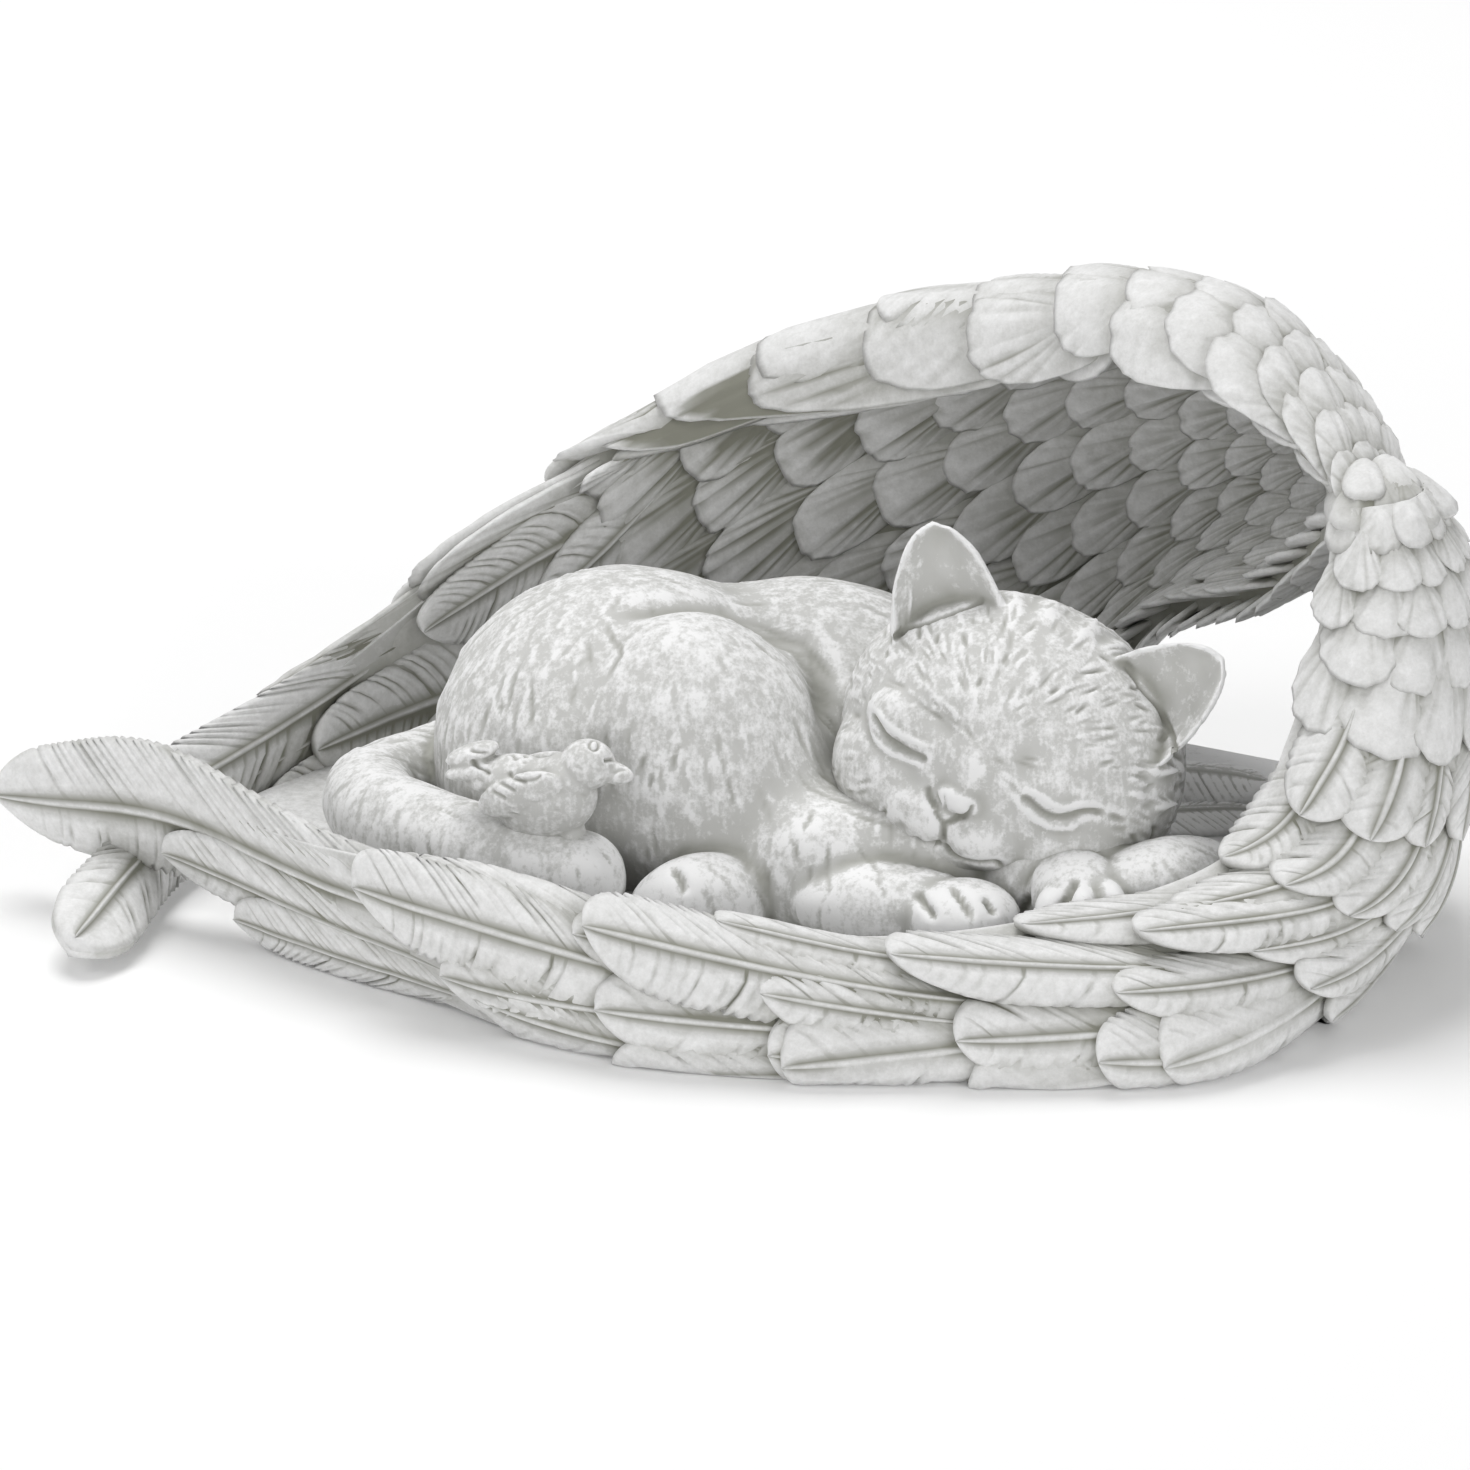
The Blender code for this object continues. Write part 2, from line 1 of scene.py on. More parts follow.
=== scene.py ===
# %% [markdown]
# # A pet memorial statue in cast stone resin
#
# The real object is one casting: a cat asleep in a nest made by two folded wings, with a small bird on its tail.
# The imported CAD model gives its size and pose. This file lays the fine carving over it, feather by feather, and
# then ages the stone and paints shade into its colour. Each cell does one step.

# %% The frame
import json
import math

import bmesh
import bpy
import numpy as np
from mathutils import Euler, Matrix, Vector
from mathutils.bvhtree import BVHTree

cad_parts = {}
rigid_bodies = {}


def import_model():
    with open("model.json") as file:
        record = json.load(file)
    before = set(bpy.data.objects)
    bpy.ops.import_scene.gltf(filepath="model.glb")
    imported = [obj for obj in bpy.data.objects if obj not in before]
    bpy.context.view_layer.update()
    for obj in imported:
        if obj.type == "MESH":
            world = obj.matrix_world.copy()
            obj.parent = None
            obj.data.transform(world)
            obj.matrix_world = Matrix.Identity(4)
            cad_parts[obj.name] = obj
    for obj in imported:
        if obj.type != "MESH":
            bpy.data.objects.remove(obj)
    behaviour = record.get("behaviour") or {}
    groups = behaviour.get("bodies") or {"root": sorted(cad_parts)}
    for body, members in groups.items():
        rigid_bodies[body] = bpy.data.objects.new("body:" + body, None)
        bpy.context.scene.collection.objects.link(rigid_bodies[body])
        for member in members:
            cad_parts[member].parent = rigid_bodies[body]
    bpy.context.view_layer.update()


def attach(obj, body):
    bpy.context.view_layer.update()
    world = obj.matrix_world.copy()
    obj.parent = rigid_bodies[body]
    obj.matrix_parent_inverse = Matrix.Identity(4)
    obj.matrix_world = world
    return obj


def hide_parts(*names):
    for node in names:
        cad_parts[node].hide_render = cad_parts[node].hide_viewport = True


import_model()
STATUE = "memorial_statue"

# %% [markdown]
# ## Measures
#
# The wings are drawn in millimetres, on rails that run from the wrist (the corner of the folded wing) to the tip.
# Four rails make a sheet: foot, belly, ridge and rim. Working in drawn millimetres keeps the numbers easy to read,
# and one small function turns them into metres around the statue's own middle.

# %% Rails and places
MM = 0.001
DRAWN_MIDDLE = np.array([0.4, -3.5, 0.0])
SHEET_THICKNESS = 4.0 * MM
NEST_HEIGHT = 12.0
BACK_WING = {
    "foot": [
        (107, -10, 76), (98, 14, 55), (82, 42, 40), (58, 60, 8), (20, 66, 0),
        (-25, 62, 0), (-68, 42, 0), (-99, 5, 0), (-108, -40, 2),
    ],
    "belly": [
        (114, -7, 76), (117, 10, 76), (101, 47, 68), (68, 67, 56), (22, 73, 41),
        (-26, 67, 26), (-70, 46, 14), (-102, 8, 8), (-115, -37, 4),
    ],
    "ridge": [
        (114, -11, 83), (109, 6, 94), (94, 29, 102), (61, 50, 97), (13, 67, 76),
        (-28, 64, 49), (-72, 45, 25), (-105, 9, 13), (-122, -34, 7),
    ],
    "rim": [
        (107, -19, 84), (98, -8, 93), (80, 5, 101), (56, 30, 96), (3, 59, 80),
        (-32, 57, 61), (-76, 41, 31), (-109, 9, 17), (-128, -31, 9),
    ],
}
FRONT_WING = {
    "foot": [
        (115, -12, 82), (119, 4, 66), (121, 14, 38), (116, 0, 0), (88, -68, 0),
        (35, -76, 0), (-20, -66, 0), (-62, -40, 2), (-95, -13, 5), (-127, 1, 9),
    ],
    "belly": [
        (121, -18, 83), (130, -14, 66), (131, -15, 38), (122, -34, 14), (86, -75, 8),
        (34, -79, 6), (-22, -70, 8), (-63, -42, 11), (-98, -13, 14), (-129, 2, 15),
    ],
    "ridge": [
        (117, -27, 83), (121, -36, 66), (119, -48, 42), (108, -58, 25), (75, -72, 17),
        (28, -75, 15), (-26, -66, 18), (-67, -42, 21), (-102, -12, 24), (-131, 3, 21),
    ],
    "rim": [
        (106, -24, 81), (104, -31, 66), (98, -40, 47), (87, -49, 28), (56, -62, 22),
        (15, -67, 20), (-31, -59, 26), (-72, -39, 29), (-106, -9, 33), (-132, 5, 27),
    ],
}
print("points on each rail:", len(BACK_WING["rim"]), "and", len(FRONT_WING["rim"]))


# %% [markdown]
# The rails are only a few points each. A smooth curve runs through them, and a cubic across the four rails gives
# any point of the sheet from two shares: s along the wing and t across it.

# %% From rails to a sheet
def to_statue(drawn):
    """Drawn millimetres to metres in the statue's frame."""
    return (np.asarray(drawn, float) - DRAWN_MIDDLE) * MM


def along(points, position):
    """A smooth curve through the points. Position runs from 0 at the first to 1 at the last."""
    rail = np.asarray(points, float)
    last = len(rail) - 1
    rail = np.vstack([2 * rail[0] - rail[1], rail, 2 * rail[-1] - rail[-2]])
    step = np.clip(np.asarray(position, float), 0, 1) * last
    span = np.clip(np.floor(step).astype(int), 0, last - 1)
    f = (step - span)[..., None]
    before, start, end, after = (rail[span + k] for k in range(4))
    slope = (end - before) * f
    bend = (2 * before - 5 * start + 4 * end - after) * f**2
    twist = (3 * start - before - 3 * end + after) * f**3
    return 0.5 * (2 * start + slope + bend + twist)


def on_sheet(rails, s, t):
    """Points of a wing's middle sheet: s from wrist 0 to tip 1, t from the foot rail 0 to the rim 1."""
    knots = np.arange(4) / 3
    point = 0
    for i, name in enumerate(("foot", "belly", "ridge", "rim")):
        weight = 1.0
        for j in range(4):
            if j != i:
                weight = weight * (t - knots[j]) / (knots[i] - knots[j])
        point = point + along(rails[name], s) * np.asarray(weight)[..., None]
    return to_statue(point)


def sheet_frame(rails, s, t):
    """Point, slope along s, slope along t and normal. Past its edges the sheet runs on straight."""
    s, t = np.broadcast_arrays(np.asarray(s, float), np.asarray(t, float))
    small = 0.004
    s_in, t_in = np.clip(s, small, 1 - small), np.clip(t, small, 1 - small)
    ds = (on_sheet(rails, s_in + small, t_in) - on_sheet(rails, s_in - small, t_in)) / (2 * small)
    dt = (on_sheet(rails, s_in, t_in + small) - on_sheet(rails, s_in, t_in - small)) / (2 * small)
    point = on_sheet(rails, s_in, t_in) + ds * (s - s_in)[..., None] + dt * (t - t_in)[..., None]
    normal = np.cross(ds, dt)
    normal /= np.linalg.norm(normal, axis=-1, keepdims=True)
    return point, ds, dt, normal


def outward(rails):
    """+1 if the sheet's normal points away from the nest, otherwise -1."""
    point, _, _, normal = sheet_frame(rails, 0.55, 0.5)
    return 1.0 if normal @ (point * (1, 1, 0)) > 0 else -1.0


print("the middles lie at", [on_sheet(rails, 0.5, 0.5).round(3).tolist() for rails in (BACK_WING, FRONT_WING)])

# %% [markdown]
# ## Small tools
#
# Every form here is points and faces in numpy until it is finished, because carving moves thousands of points at
# once. These helpers turn arrays into Blender meshes and back.

# %% Arrays to meshes and back
def new_object(name, mesh, collection=None):
    made = bpy.data.objects.new(name, mesh)
    (collection or bpy.context.scene.collection).objects.link(made)
    return made


def mesh_from(name, points, faces):
    mesh = bpy.data.meshes.new(name)
    mesh.from_pydata(np.asarray(points).tolist(), [], [list(map(int, face)) for face in faces])
    return mesh


def grid_quads(rows, columns):
    """The faces of a grid of points that are numbered row by row."""
    index = np.arange(rows * columns).reshape(rows, columns)
    return np.stack([index[:-1, :-1], index[1:, :-1], index[1:, 1:], index[:-1, 1:]], axis=-1).reshape(-1, 4)


def put(mesh, name, kind, values):
    """Stores one value for each point in a named attribute."""
    attribute = mesh.attributes.get(name) or mesh.attributes.new(name, kind, "POINT")
    field = "value" if kind == "FLOAT" else "vector"
    attribute.data.foreach_set(field, np.ascontiguousarray(values, np.float32).ravel())


def read(items, field, width, kind=np.float32):
    """One row of numbers for each of a mesh's items."""
    flat = np.empty(len(items) * width, kind)
    items.foreach_get(field, flat)
    return flat.reshape(-1, width)


def points_of(mesh):
    return read(mesh.vertices, "co", 3).astype(float)


def normals_of(mesh):
    return read(mesh.vertex_normals, "vector", 3).astype(float)


def edges_of(mesh):
    return read(mesh.edges, "vertices", 2, np.int32)


def move_points(mesh, points):
    mesh.vertices.foreach_set("co", np.ascontiguousarray(points, np.float32).ravel())
    mesh.update()


def baked(obj):
    """The object's mesh with its modifiers applied. The object itself was only a helper, so it goes."""
    bpy.context.view_layer.update()
    graph = bpy.context.evaluated_depsgraph_get()
    mesh = bpy.data.meshes.new_from_object(obj.evaluated_get(graph))
    bpy.data.objects.remove(obj, do_unlink=True)
    return mesh


def triangles(mesh):
    return sum(len(face.vertices) - 2 for face in mesh.polygons)


# %% [markdown]
# ## One feather
#
# Look at a carved feather: a shaft runs down the middle between two fine lines, and the barbs are grooves that
# leave it at a slant. If the mesh's rows ran straight across, each groove would cut many faces at an angle and
# look like a saw. So the rows themselves follow the barbs: each starts at the shaft and ends further out along
# the edge, and three rows make one barb (the groove, its shoulder and its crest). Few faces then draw a crisp line.
#
# Each point also carries `lay`: its share along the feather, its share across, and its height. That is all a wing
# needs to know to bend the feather over its own surface later.

# %% A long feather with slanted barbs
BARB_PITCH = 2.3
UNDERSIDE = -0.55


def leaf_outline(share, root, fullest, tip_start):
    """Half width of a feather as a share of its widest, at a share of its length."""
    swell = root + (1 - root) * np.sin(np.clip(share / fullest, 0, 1) * math.pi / 2)
    rounding = np.clip((share - tip_start) / (1 - tip_start), 0, 1)
    return swell * np.sqrt(np.clip(1 - rounding**2, 0, 1))


def soft_step(value):
    value = np.clip(value, 0, 1)
    return value * value * (3 - 2 * value)


def leaf_mesh(name, lay, faces):
    """A flat stand-in that only carries `lay`. Points that coincide at the tip are merged."""
    mesh = mesh_from(name, lay * (1, 0.3, 0.1), faces)
    put(mesh, "lay", "FLOAT_VECTOR", lay)
    bm = bmesh.new()
    bm.from_mesh(mesh)
    bmesh.ops.remove_doubles(bm, verts=bm.verts, dist=1e-5)
    bmesh.ops.recalc_face_normals(bm, faces=bm.faces)
    if bm.calc_volume(signed=True) < 0:
        bmesh.ops.reverse_faces(bm, faces=bm.faces)
    bm.to_mesh(mesh)
    bm.free()
    return mesh


def long_feather(name, length, width, seed, depth=0.40, columns_out=(0.03, 0.075, 0.32, 0.58, 0.83, 1.0)):
    """Rows follow the barbs. Depth is the grooves' share of half the feather's thickness."""
    chance = np.random.default_rng(seed)
    barbs = max(5, round(length / BARB_PITCH))
    start = (np.arange(barbs) + chance.uniform(-0.16, 0.16, barbs)) / barbs
    start[0] = 0
    rows = np.append((start[:, None] + np.array([0, 0.28, 0.64]) / barbs).ravel(), 1.0)
    groove = np.append(np.tile([1.0, 0.3, 0.0], barbs), 0.0)
    columns = np.array([-c for c in columns_out[::-1]] + [0.0] + list(columns_out))
    far, side = np.abs(columns), np.sign(columns)
    sweep = width / 2 / length
    edge = rows + sweep * (1 - rows**5) * soft_step(rows / 0.15)
    share = rows[:, None] + (edge - rows)[:, None] * far[None, :] ** 1.3
    half = leaf_outline(share, 0.55, 0.6, 1 - 0.85 * width / length)
    barb = np.minimum(np.arange(len(rows)) // 3, barbs - 1)
    strength = chance.uniform(0.25, 1.0, (barbs, 2)) * (chance.random((barbs, 2)) > 0.12)
    split = (chance.random((barbs, 2)) > 0.92) & (start[:, None] > 0.35) & (start[:, None] < 0.80)
    strength[split] = 1.9
    pick = (side > 0).astype(int)
    deep = groove[:, None] * strength[barb][:, pick]
    begin = chance.uniform(0.1, 0.3, (barbs, 2))[barb][:, pick]
    deep = deep * np.clip((far[None, :] - begin) / 0.25, 0, 1) * (1 - soft_step((share - 0.86) / 0.1))
    crown = 1 - 0.78 * far**2.4
    crown = crown + np.where(far < 0.01, 0.07, np.where(far < 0.05, 0.05, np.where(far < 0.1, -0.17, 0)))
    height = crown[None, :] * (1 - 0.25 * soft_step((share - 0.8) / 0.2)) - depth * deep
    across = side * far * half * (1 - 0.06 * deep * (far > 0.95))
    top = np.stack([share, across, height], axis=-1)
    left, right = top[:, 0].copy(), top[:, -1].copy()
    for rim in (left, right):
        rim[:, 1] *= 0.94
        rim[:, 2] = UNDERSIDE
    count, wide = len(rows), len(columns)
    lay = np.vstack([top.reshape(-1, 3), left, right])
    grid = np.arange(count * wide).reshape(count, wide)
    low_left, low_right = count * wide + np.arange(count), count * wide + count + np.arange(count)
    faces = []
    for j in range(count - 1):
        row, after = grid[j], grid[j + 1]
        faces += [(row[i], row[i + 1], after[i + 1], after[i]) for i in range(wide - 1)]
        faces.append((low_left[j], row[0], after[0], low_left[j + 1]))
        faces.append((row[-1], low_right[j], low_right[j + 1], after[-1]))
        faces.append((low_right[j], low_left[j], low_left[j + 1], low_right[j + 1]))
    faces.append([*grid[0], low_right[0], low_left[0]])
    return leaf_mesh(name, lay, faces)


# %% [markdown]
# A covert, the short feather that covers the wing, is carved as a rounded pad. Its grooves fan out from the root,
# so here the mesh is a wheel: spokes for the grooves and rings for the swell of the pad.

# %% A short feather with a fan of grooves
def covert_feather(name, spokes, rings, seed, depth=0.32, blunt=1.0):
    """A closed pad. Every third spoke is a groove of its own length and depth. Below 1, blunt squares the tip."""
    chance = np.random.default_rng(seed)
    angle = (np.arange(spokes) + 0.5) / spokes * 2 * math.pi - math.pi
    angle = angle + chance.uniform(-0.3, 0.3, spokes) * 2 * math.pi / spokes
    centre = np.array([0.22, 0.0])
    cos, sin = np.cos(angle), np.sin(angle)
    tip_swing = 0.5 + 0.5 * np.sign(cos) * np.abs(cos) ** blunt
    outline = np.stack([tip_swing, np.sign(sin) * np.abs(sin) ** blunt * (0.62 + 0.38 * tip_swing**0.7)], axis=1)
    outline[:, 1] /= np.abs(outline[:, 1]).max()
    ragged = 1 + chance.uniform(-0.012, 0.012, spokes)
    groove = (np.arange(spokes) % 3 == 0) * chance.uniform(0.35, 1.0, spokes) * (np.abs(angle) < 2.4)
    groove = groove + ((np.arange(spokes) % 3 == 1) & (chance.random(spokes) > 0.6)) * 0.35
    start = chance.uniform(0.1, 0.45, spokes)
    lay = [[(*centre, 0.95)]]
    for ring in rings:
        spot = centre + (outline - centre) * ring * np.where(ring > 0.9, ragged, 1)[:, None]
        carve = groove * np.clip((ring - start) / 0.2, 0, 1)
        shaft = 0.18 * np.exp(-((angle / 0.16) ** 2)) * (ring < 0.95)
        height = 1 - 0.80 * ring**3 + shaft - depth * carve
        if ring > 0.9:
            spot = centre + (spot - centre) * (1 - 0.018 * carve)[:, None]
        lay.append(np.column_stack([spot, height]))
    under = np.array(lay[-1])
    under[:, :2] = centre + (under[:, :2] - centre) * 0.95
    under[:, 2] = UNDERSIDE
    lay.append(under)
    lay = np.vstack(lay)
    faces = [(0, 1 + (k + 1) % spokes, 1 + k) for k in range(spokes)]
    for r in range(len(rings)):
        inner, outer = 1 + r * spokes, 1 + (r + 1) * spokes
        for k in range(spokes):
            n = (k + 1) % spokes
            faces.append((inner + k, inner + n, outer + n, outer + k))
    faces.append([1 + len(rings) * spokes + k for k in range(spokes)])
    return leaf_mesh(name, lay, faces)


# %% [markdown]
# A few patterns of each kind are enough, because the tree below turns and sizes each copy a little by chance.

# %% The patterns
def pattern_set(name, meshes):
    """A collection of feather patterns that the wings pick from. It isn't linked to the scene."""
    made = bpy.data.collections.new(name)
    for mesh in meshes:
        new_object(mesh.name, mesh, made)
    return made


def long_patterns(name, kinds, first_seed, *shape):
    return pattern_set(name, [long_feather(f"{name}_{n}", *shape[:2], first_seed + n, *shape[2:])
                              for n in range(kinds)])


def covert_patterns(name, first_seed, spokes, rings, depth, blunt):
    return pattern_set(name, [covert_feather(f"{name}_{n}", spokes, rings, first_seed + n, depth, blunt)
                              for n in range(MOST_PATTERNS)])


MOST_PATTERNS = 6
RINGS, FEW_RINGS = (0.3, 0.55, 0.75, 0.88, 0.96, 1.0), (0.5, 0.85, 1.0)
long_set = long_patterns("long", 4, 0, 68, 16)
middle_set = long_patterns("middle", 4, 10, 42, 15)
tip_set = long_patterns("tip", 1, 21, 115, 19, 0.34)
covert_set = covert_patterns("covert", 30, 42, RINGS, 0.21, 0.86)
pad_set = covert_patterns("pad", 40, 48, RINGS, 0.21, 0.66)
small_set = covert_patterns("small", 50, 21, FEW_RINGS, 0.3, 0.86)

# %% [markdown]
# ## Laying feathers on a wing with Geometry Nodes
#
# Hundreds of feathers follow one rule, so Geometry Nodes lay them. The seeds are loose points that carry where a
# feather's tip lies on the wing and how large it is. The tree puts a pattern on each seed, makes it real, and then
# moves every point to its place: its share along and across gives a spot on the wing's sheet, and Sample UV Surface
# looks up the sheet's position and normal there. The feather bends with the wing by itself.

# %% The sheet that feathers are laid on
SHEET_ROWS, SHEET_COLUMNS = 420, 110
SHEET_REACH_S, SHEET_REACH_T = (-0.08, 1.16), (-0.5, 1.5)


def lookup_sheet(name, rails):
    """A fine grid of the wing's middle sheet, wider than the wing, whose UV map holds the shares s and t."""
    along_s, along_t = np.linspace(*SHEET_REACH_S, SHEET_ROWS), np.linspace(*SHEET_REACH_T, SHEET_COLUMNS)
    s, t = np.meshgrid(along_s, along_t, indexing="ij")
    point, _, _, normal = sheet_frame(rails, s, t)
    faces = grid_quads(SHEET_ROWS, SHEET_COLUMNS)
    mesh = mesh_from(name, point.reshape(-1, 3), faces)
    put(mesh, "sheet_normal", "FLOAT_VECTOR", normal.reshape(-1, 3) * outward(rails))
    layer = mesh.uv_layers.new(name="shares")
    corners = np.stack([s.ravel(), t.ravel()], axis=1)[faces.ravel()]
    layer.uv.foreach_set("vector", np.ascontiguousarray(corners, np.float32).ravel())
    return mesh


hidden = bpy.data.collections.new("guides")
back_sheet = new_object("back_sheet", lookup_sheet("back_sheet", BACK_WING), hidden)
front_sheet = new_object("front_sheet", lookup_sheet("front_sheet", FRONT_WING), hidden)
print("each sheet is", SHEET_ROWS, "by", SHEET_COLUMNS, "points")

# %% [markdown]
# A node tree written out socket by socket is long and hard to read. This small class adds a node in one line and
# joins its inputs to values or to other nodes, so the tree below reads like a sum.

# %% A short way to write node trees
class Tree:
    """Adds nodes from left to right. An input may be a value or another node's output."""

    def __init__(self, name, kind):
        self.tree = bpy.data.node_groups.new(name, kind)
        self.nodes, self.links, self.column = self.tree.nodes, self.tree.links, 0

    def input(self, name, kind, default=None):
        made = self.tree.interface.new_socket(name=name, in_out="INPUT", socket_type=kind)
        if default is not None:
            made.default_value = default
        return made

    def output(self, name, kind):
        return self.tree.interface.new_socket(name=name, in_out="OUTPUT", socket_type=kind)

    def node(self, kind, inputs=(), **settings):
        made = self.nodes.new(kind)
        made.location = (self.column * 190, -(self.column % 3) * 160)
        self.column += 1
        for key, value in settings.items():
            setattr(made, key, value)
        for key, value in dict(inputs).items():
            self.join(value, made.inputs[key])
        return made

    def join(self, value, socket):
        if isinstance(value, bpy.types.NodeSocket):
            self.links.new(value, socket)
        else:
            socket.default_value = value

    def live(self, sockets, name):
        """The socket of that name which the node's present settings use."""
        return next(socket for socket in sockets if socket.enabled and socket.name == name)

    def math(self, operation, *values, clamp=False):
        return self.node("ShaderNodeMath", enumerate(values), operation=operation, use_clamp=clamp).outputs[0]

    def vector(self, operation, first, second):
        slot = 3 if operation == "SCALE" else 1
        return self.node("ShaderNodeVectorMath", {0: first, slot: second}, operation=operation).outputs[0]

    def kept(self, geometry, name, value):
        """The geometry with a value stored for each point."""
        node = self.node("GeometryNodeStoreNamedAttribute", {"Geometry": geometry, "Name": name}, data_type="FLOAT")
        self.join(value, self.live(node.inputs, "Value"))
        return node.outputs[0]

    def noise(self, place, scale, detail, roughness=0.5):
        inputs = {"Vector": place, "Scale": scale, "Detail": detail, "Roughness": roughness}
        return self.node("ShaderNodeTexNoise", inputs).outputs[0]

    def named(self, name, kind="FLOAT_VECTOR"):
        return self.node("GeometryNodeInputNamedAttribute", {"Name": name}, data_type=kind).outputs[0]

    def parts(self, vector):
        return self.node("ShaderNodeSeparateXYZ", {0: vector}).outputs


def add_tree(obj, name, tree, values):
    """Puts a Geometry Nodes tree on an object and sets the tree's inputs by name."""
    modifier = obj.modifiers.new(name, "NODES")
    modifier.node_group = tree
    for item in tree.interface.items_tree:
        if item.item_type == "SOCKET" and item.in_out == "INPUT" and item.name in values:
            modifier[item.identifier] = values[item.name]


# %% [markdown]
# The tree itself has named inputs, so that a row can sink its roots or lift its tips without new nodes. Random
# turns and sizes keep the rows from looking stamped, and a fixed seed makes them the same on each run.

# %% The tree that lays them
def feather_layer_tree():
    t = Tree("lay_feathers", "GeometryNodeTree")
    t.input("Seeds", "NodeSocketGeometry")
    t.input("Sheet", "NodeSocketObject")
    t.input("Patterns", "NodeSocketCollection")
    t.input("Half Sheet", "NodeSocketFloat", SHEET_THICKNESS / 2)
    t.input("Root Sink", "NodeSocketFloat", 0.9)
    t.input("Tip Rise", "NodeSocketFloat", 1.5)
    t.input("Turn Jitter", "NodeSocketFloat", math.radians(4))
    t.input("Size Jitter", "NodeSocketFloat", 0.07)
    t.input("Unevenness", "NodeSocketFloat", 0.35 * MM)
    t.input("Seed", "NodeSocketInt", 7)
    t.input("Material", "NodeSocketMaterial")
    t.output("Geometry", "NodeSocketGeometry")
    given = t.node("NodeGroupInput").outputs
    index = t.node("GeometryNodeInputIndex").outputs[0]

    def chance(low, high, shift):
        seed = t.math("ADD", given["Seed"], shift)
        node = t.node("FunctionNodeRandomValue", data_type="FLOAT")
        for name, value in (("Min", low), ("Max", high), ("ID", index), ("Seed", seed)):
            t.join(value, t.live(node.inputs, name))
        return t.live(node.outputs, "Value")

    less_turn = t.math("MULTIPLY", given["Turn Jitter"], -1.0)
    smaller = t.math("SUBTRACT", 1.0, given["Size Jitter"])
    larger = t.math("ADD", 1.0, given["Size Jitter"])
    seeds = t.kept(given["Seeds"], "turned", chance(less_turn, given["Turn Jitter"], 0))
    seeds = t.kept(seeds, "sized", chance(smaller, larger, 11))
    seeds = t.kept(seeds, "raised_by", chance(-0.12, 0.18, 23))
    picked = t.math("FLOOR", chance(0.0, MOST_PATTERNS - 0.001, 37))
    sorts = t.node("GeometryNodeCollectionInfo", {"Collection": given["Patterns"], "Separate Children": True,
                                                  "Reset Children": True}).outputs[0]
    spread = t.node("GeometryNodeInstanceOnPoints", {"Points": seeds, "Instance": sorts, "Pick Instance": True,
                                                     "Instance Index": picked}).outputs[0]
    real = t.node("GeometryNodeRealizeInstances", {"Geometry": spread}).outputs[0]
    tip = t.parts(t.named("tip"))
    size = t.parts(t.named("size"))
    metric = t.parts(t.named("metric"))
    lay = t.parts(t.named("lay"))
    sized = t.named("sized", "FLOAT")
    turn = t.math("ADD", tip[2], t.named("turned", "FLOAT"))
    run = t.math("MULTIPLY", t.math("SUBTRACT", lay[0], 1.0), size[0])
    run = t.math("MULTIPLY", run, sized)
    side = t.math("MULTIPLY", t.math("MULTIPLY", lay[1], size[1]), t.math("MULTIPLY", sized, 0.5))
    cos, sin = t.math("COSINE", turn), t.math("SINE", turn)
    ahead = t.math("SUBTRACT", t.math("MULTIPLY", run, cos), t.math("MULTIPLY", side, sin))
    beside = t.math("ADD", t.math("MULTIPLY", run, sin), t.math("MULTIPLY", side, cos))
    s = t.math("MULTIPLY_ADD", ahead, metric[0], tip[0])
    spot_t = t.math("MULTIPLY_ADD", beside, metric[1], tip[1])
    spot_s = t.math("MAXIMUM", s, -0.02)
    spot = t.node("ShaderNodeCombineXYZ", {0: spot_s, 1: spot_t}).outputs[0]
    sheet = t.node("GeometryNodeObjectInfo", {"Object": given["Sheet"]}).outputs["Geometry"]
    shares = t.named("shares")

    def looked_up(value):
        node = t.node("GeometryNodeSampleUVSurface", {"Mesh": sheet, "Sample UV": spot}, data_type="FLOAT_VECTOR")
        t.join(value, t.live(node.inputs, "Value"))
        t.join(shares, next(socket for socket in node.inputs if socket.enabled and "UV Map" in socket.name))
        return node.outputs[0]

    base = looked_up(t.node("GeometryNodeInputPosition").outputs[0])
    away = looked_up(t.named("sheet_normal"))
    rise = t.math("MULTIPLY_ADD", given["Tip Rise"], lay[0], t.math("MULTIPLY", given["Root Sink"], -1.0))
    rise = t.math("ADD", rise, t.math("MULTIPLY_ADD", lay[2], 0.5, t.named("raised_by", "FLOAT")))
    rise = t.math("ADD", rise, t.named("layer", "FLOAT"))
    noise = t.noise(t.vector("MULTIPLY", base, (180.0, 180.0, 180.0)), 1.0, 2.0)
    bumpy = t.math("MULTIPLY", t.math("SUBTRACT", noise, 0.5), given["Unevenness"])
    height = t.math("ADD", t.math("MULTIPLY_ADD", rise, size[2], given["Half Sheet"]), bumpy)
    height = t.math("MULTIPLY", height, metric[2])
    free = t.parts(t.vector("ADD", base, t.vector("SCALE", away, height)))
    final = t.node("ShaderNodeCombineXYZ", {0: free[0], 1: free[1], 2: t.math("MAXIMUM", free[2], 0.0)}).outputs[0]
    bent = t.node("GeometryNodeSetPosition", {"Geometry": real, "Position": final}).outputs[0]
    dressed = t.node("GeometryNodeSetMaterial", {"Geometry": bent, "Material": given["Material"]}).outputs[0]
    t.join(dressed, t.node("NodeGroupOutput").inputs[0])
    return t.tree


layer_tree = feather_layer_tree()
print("feather tree has", len(layer_tree.nodes), "nodes")

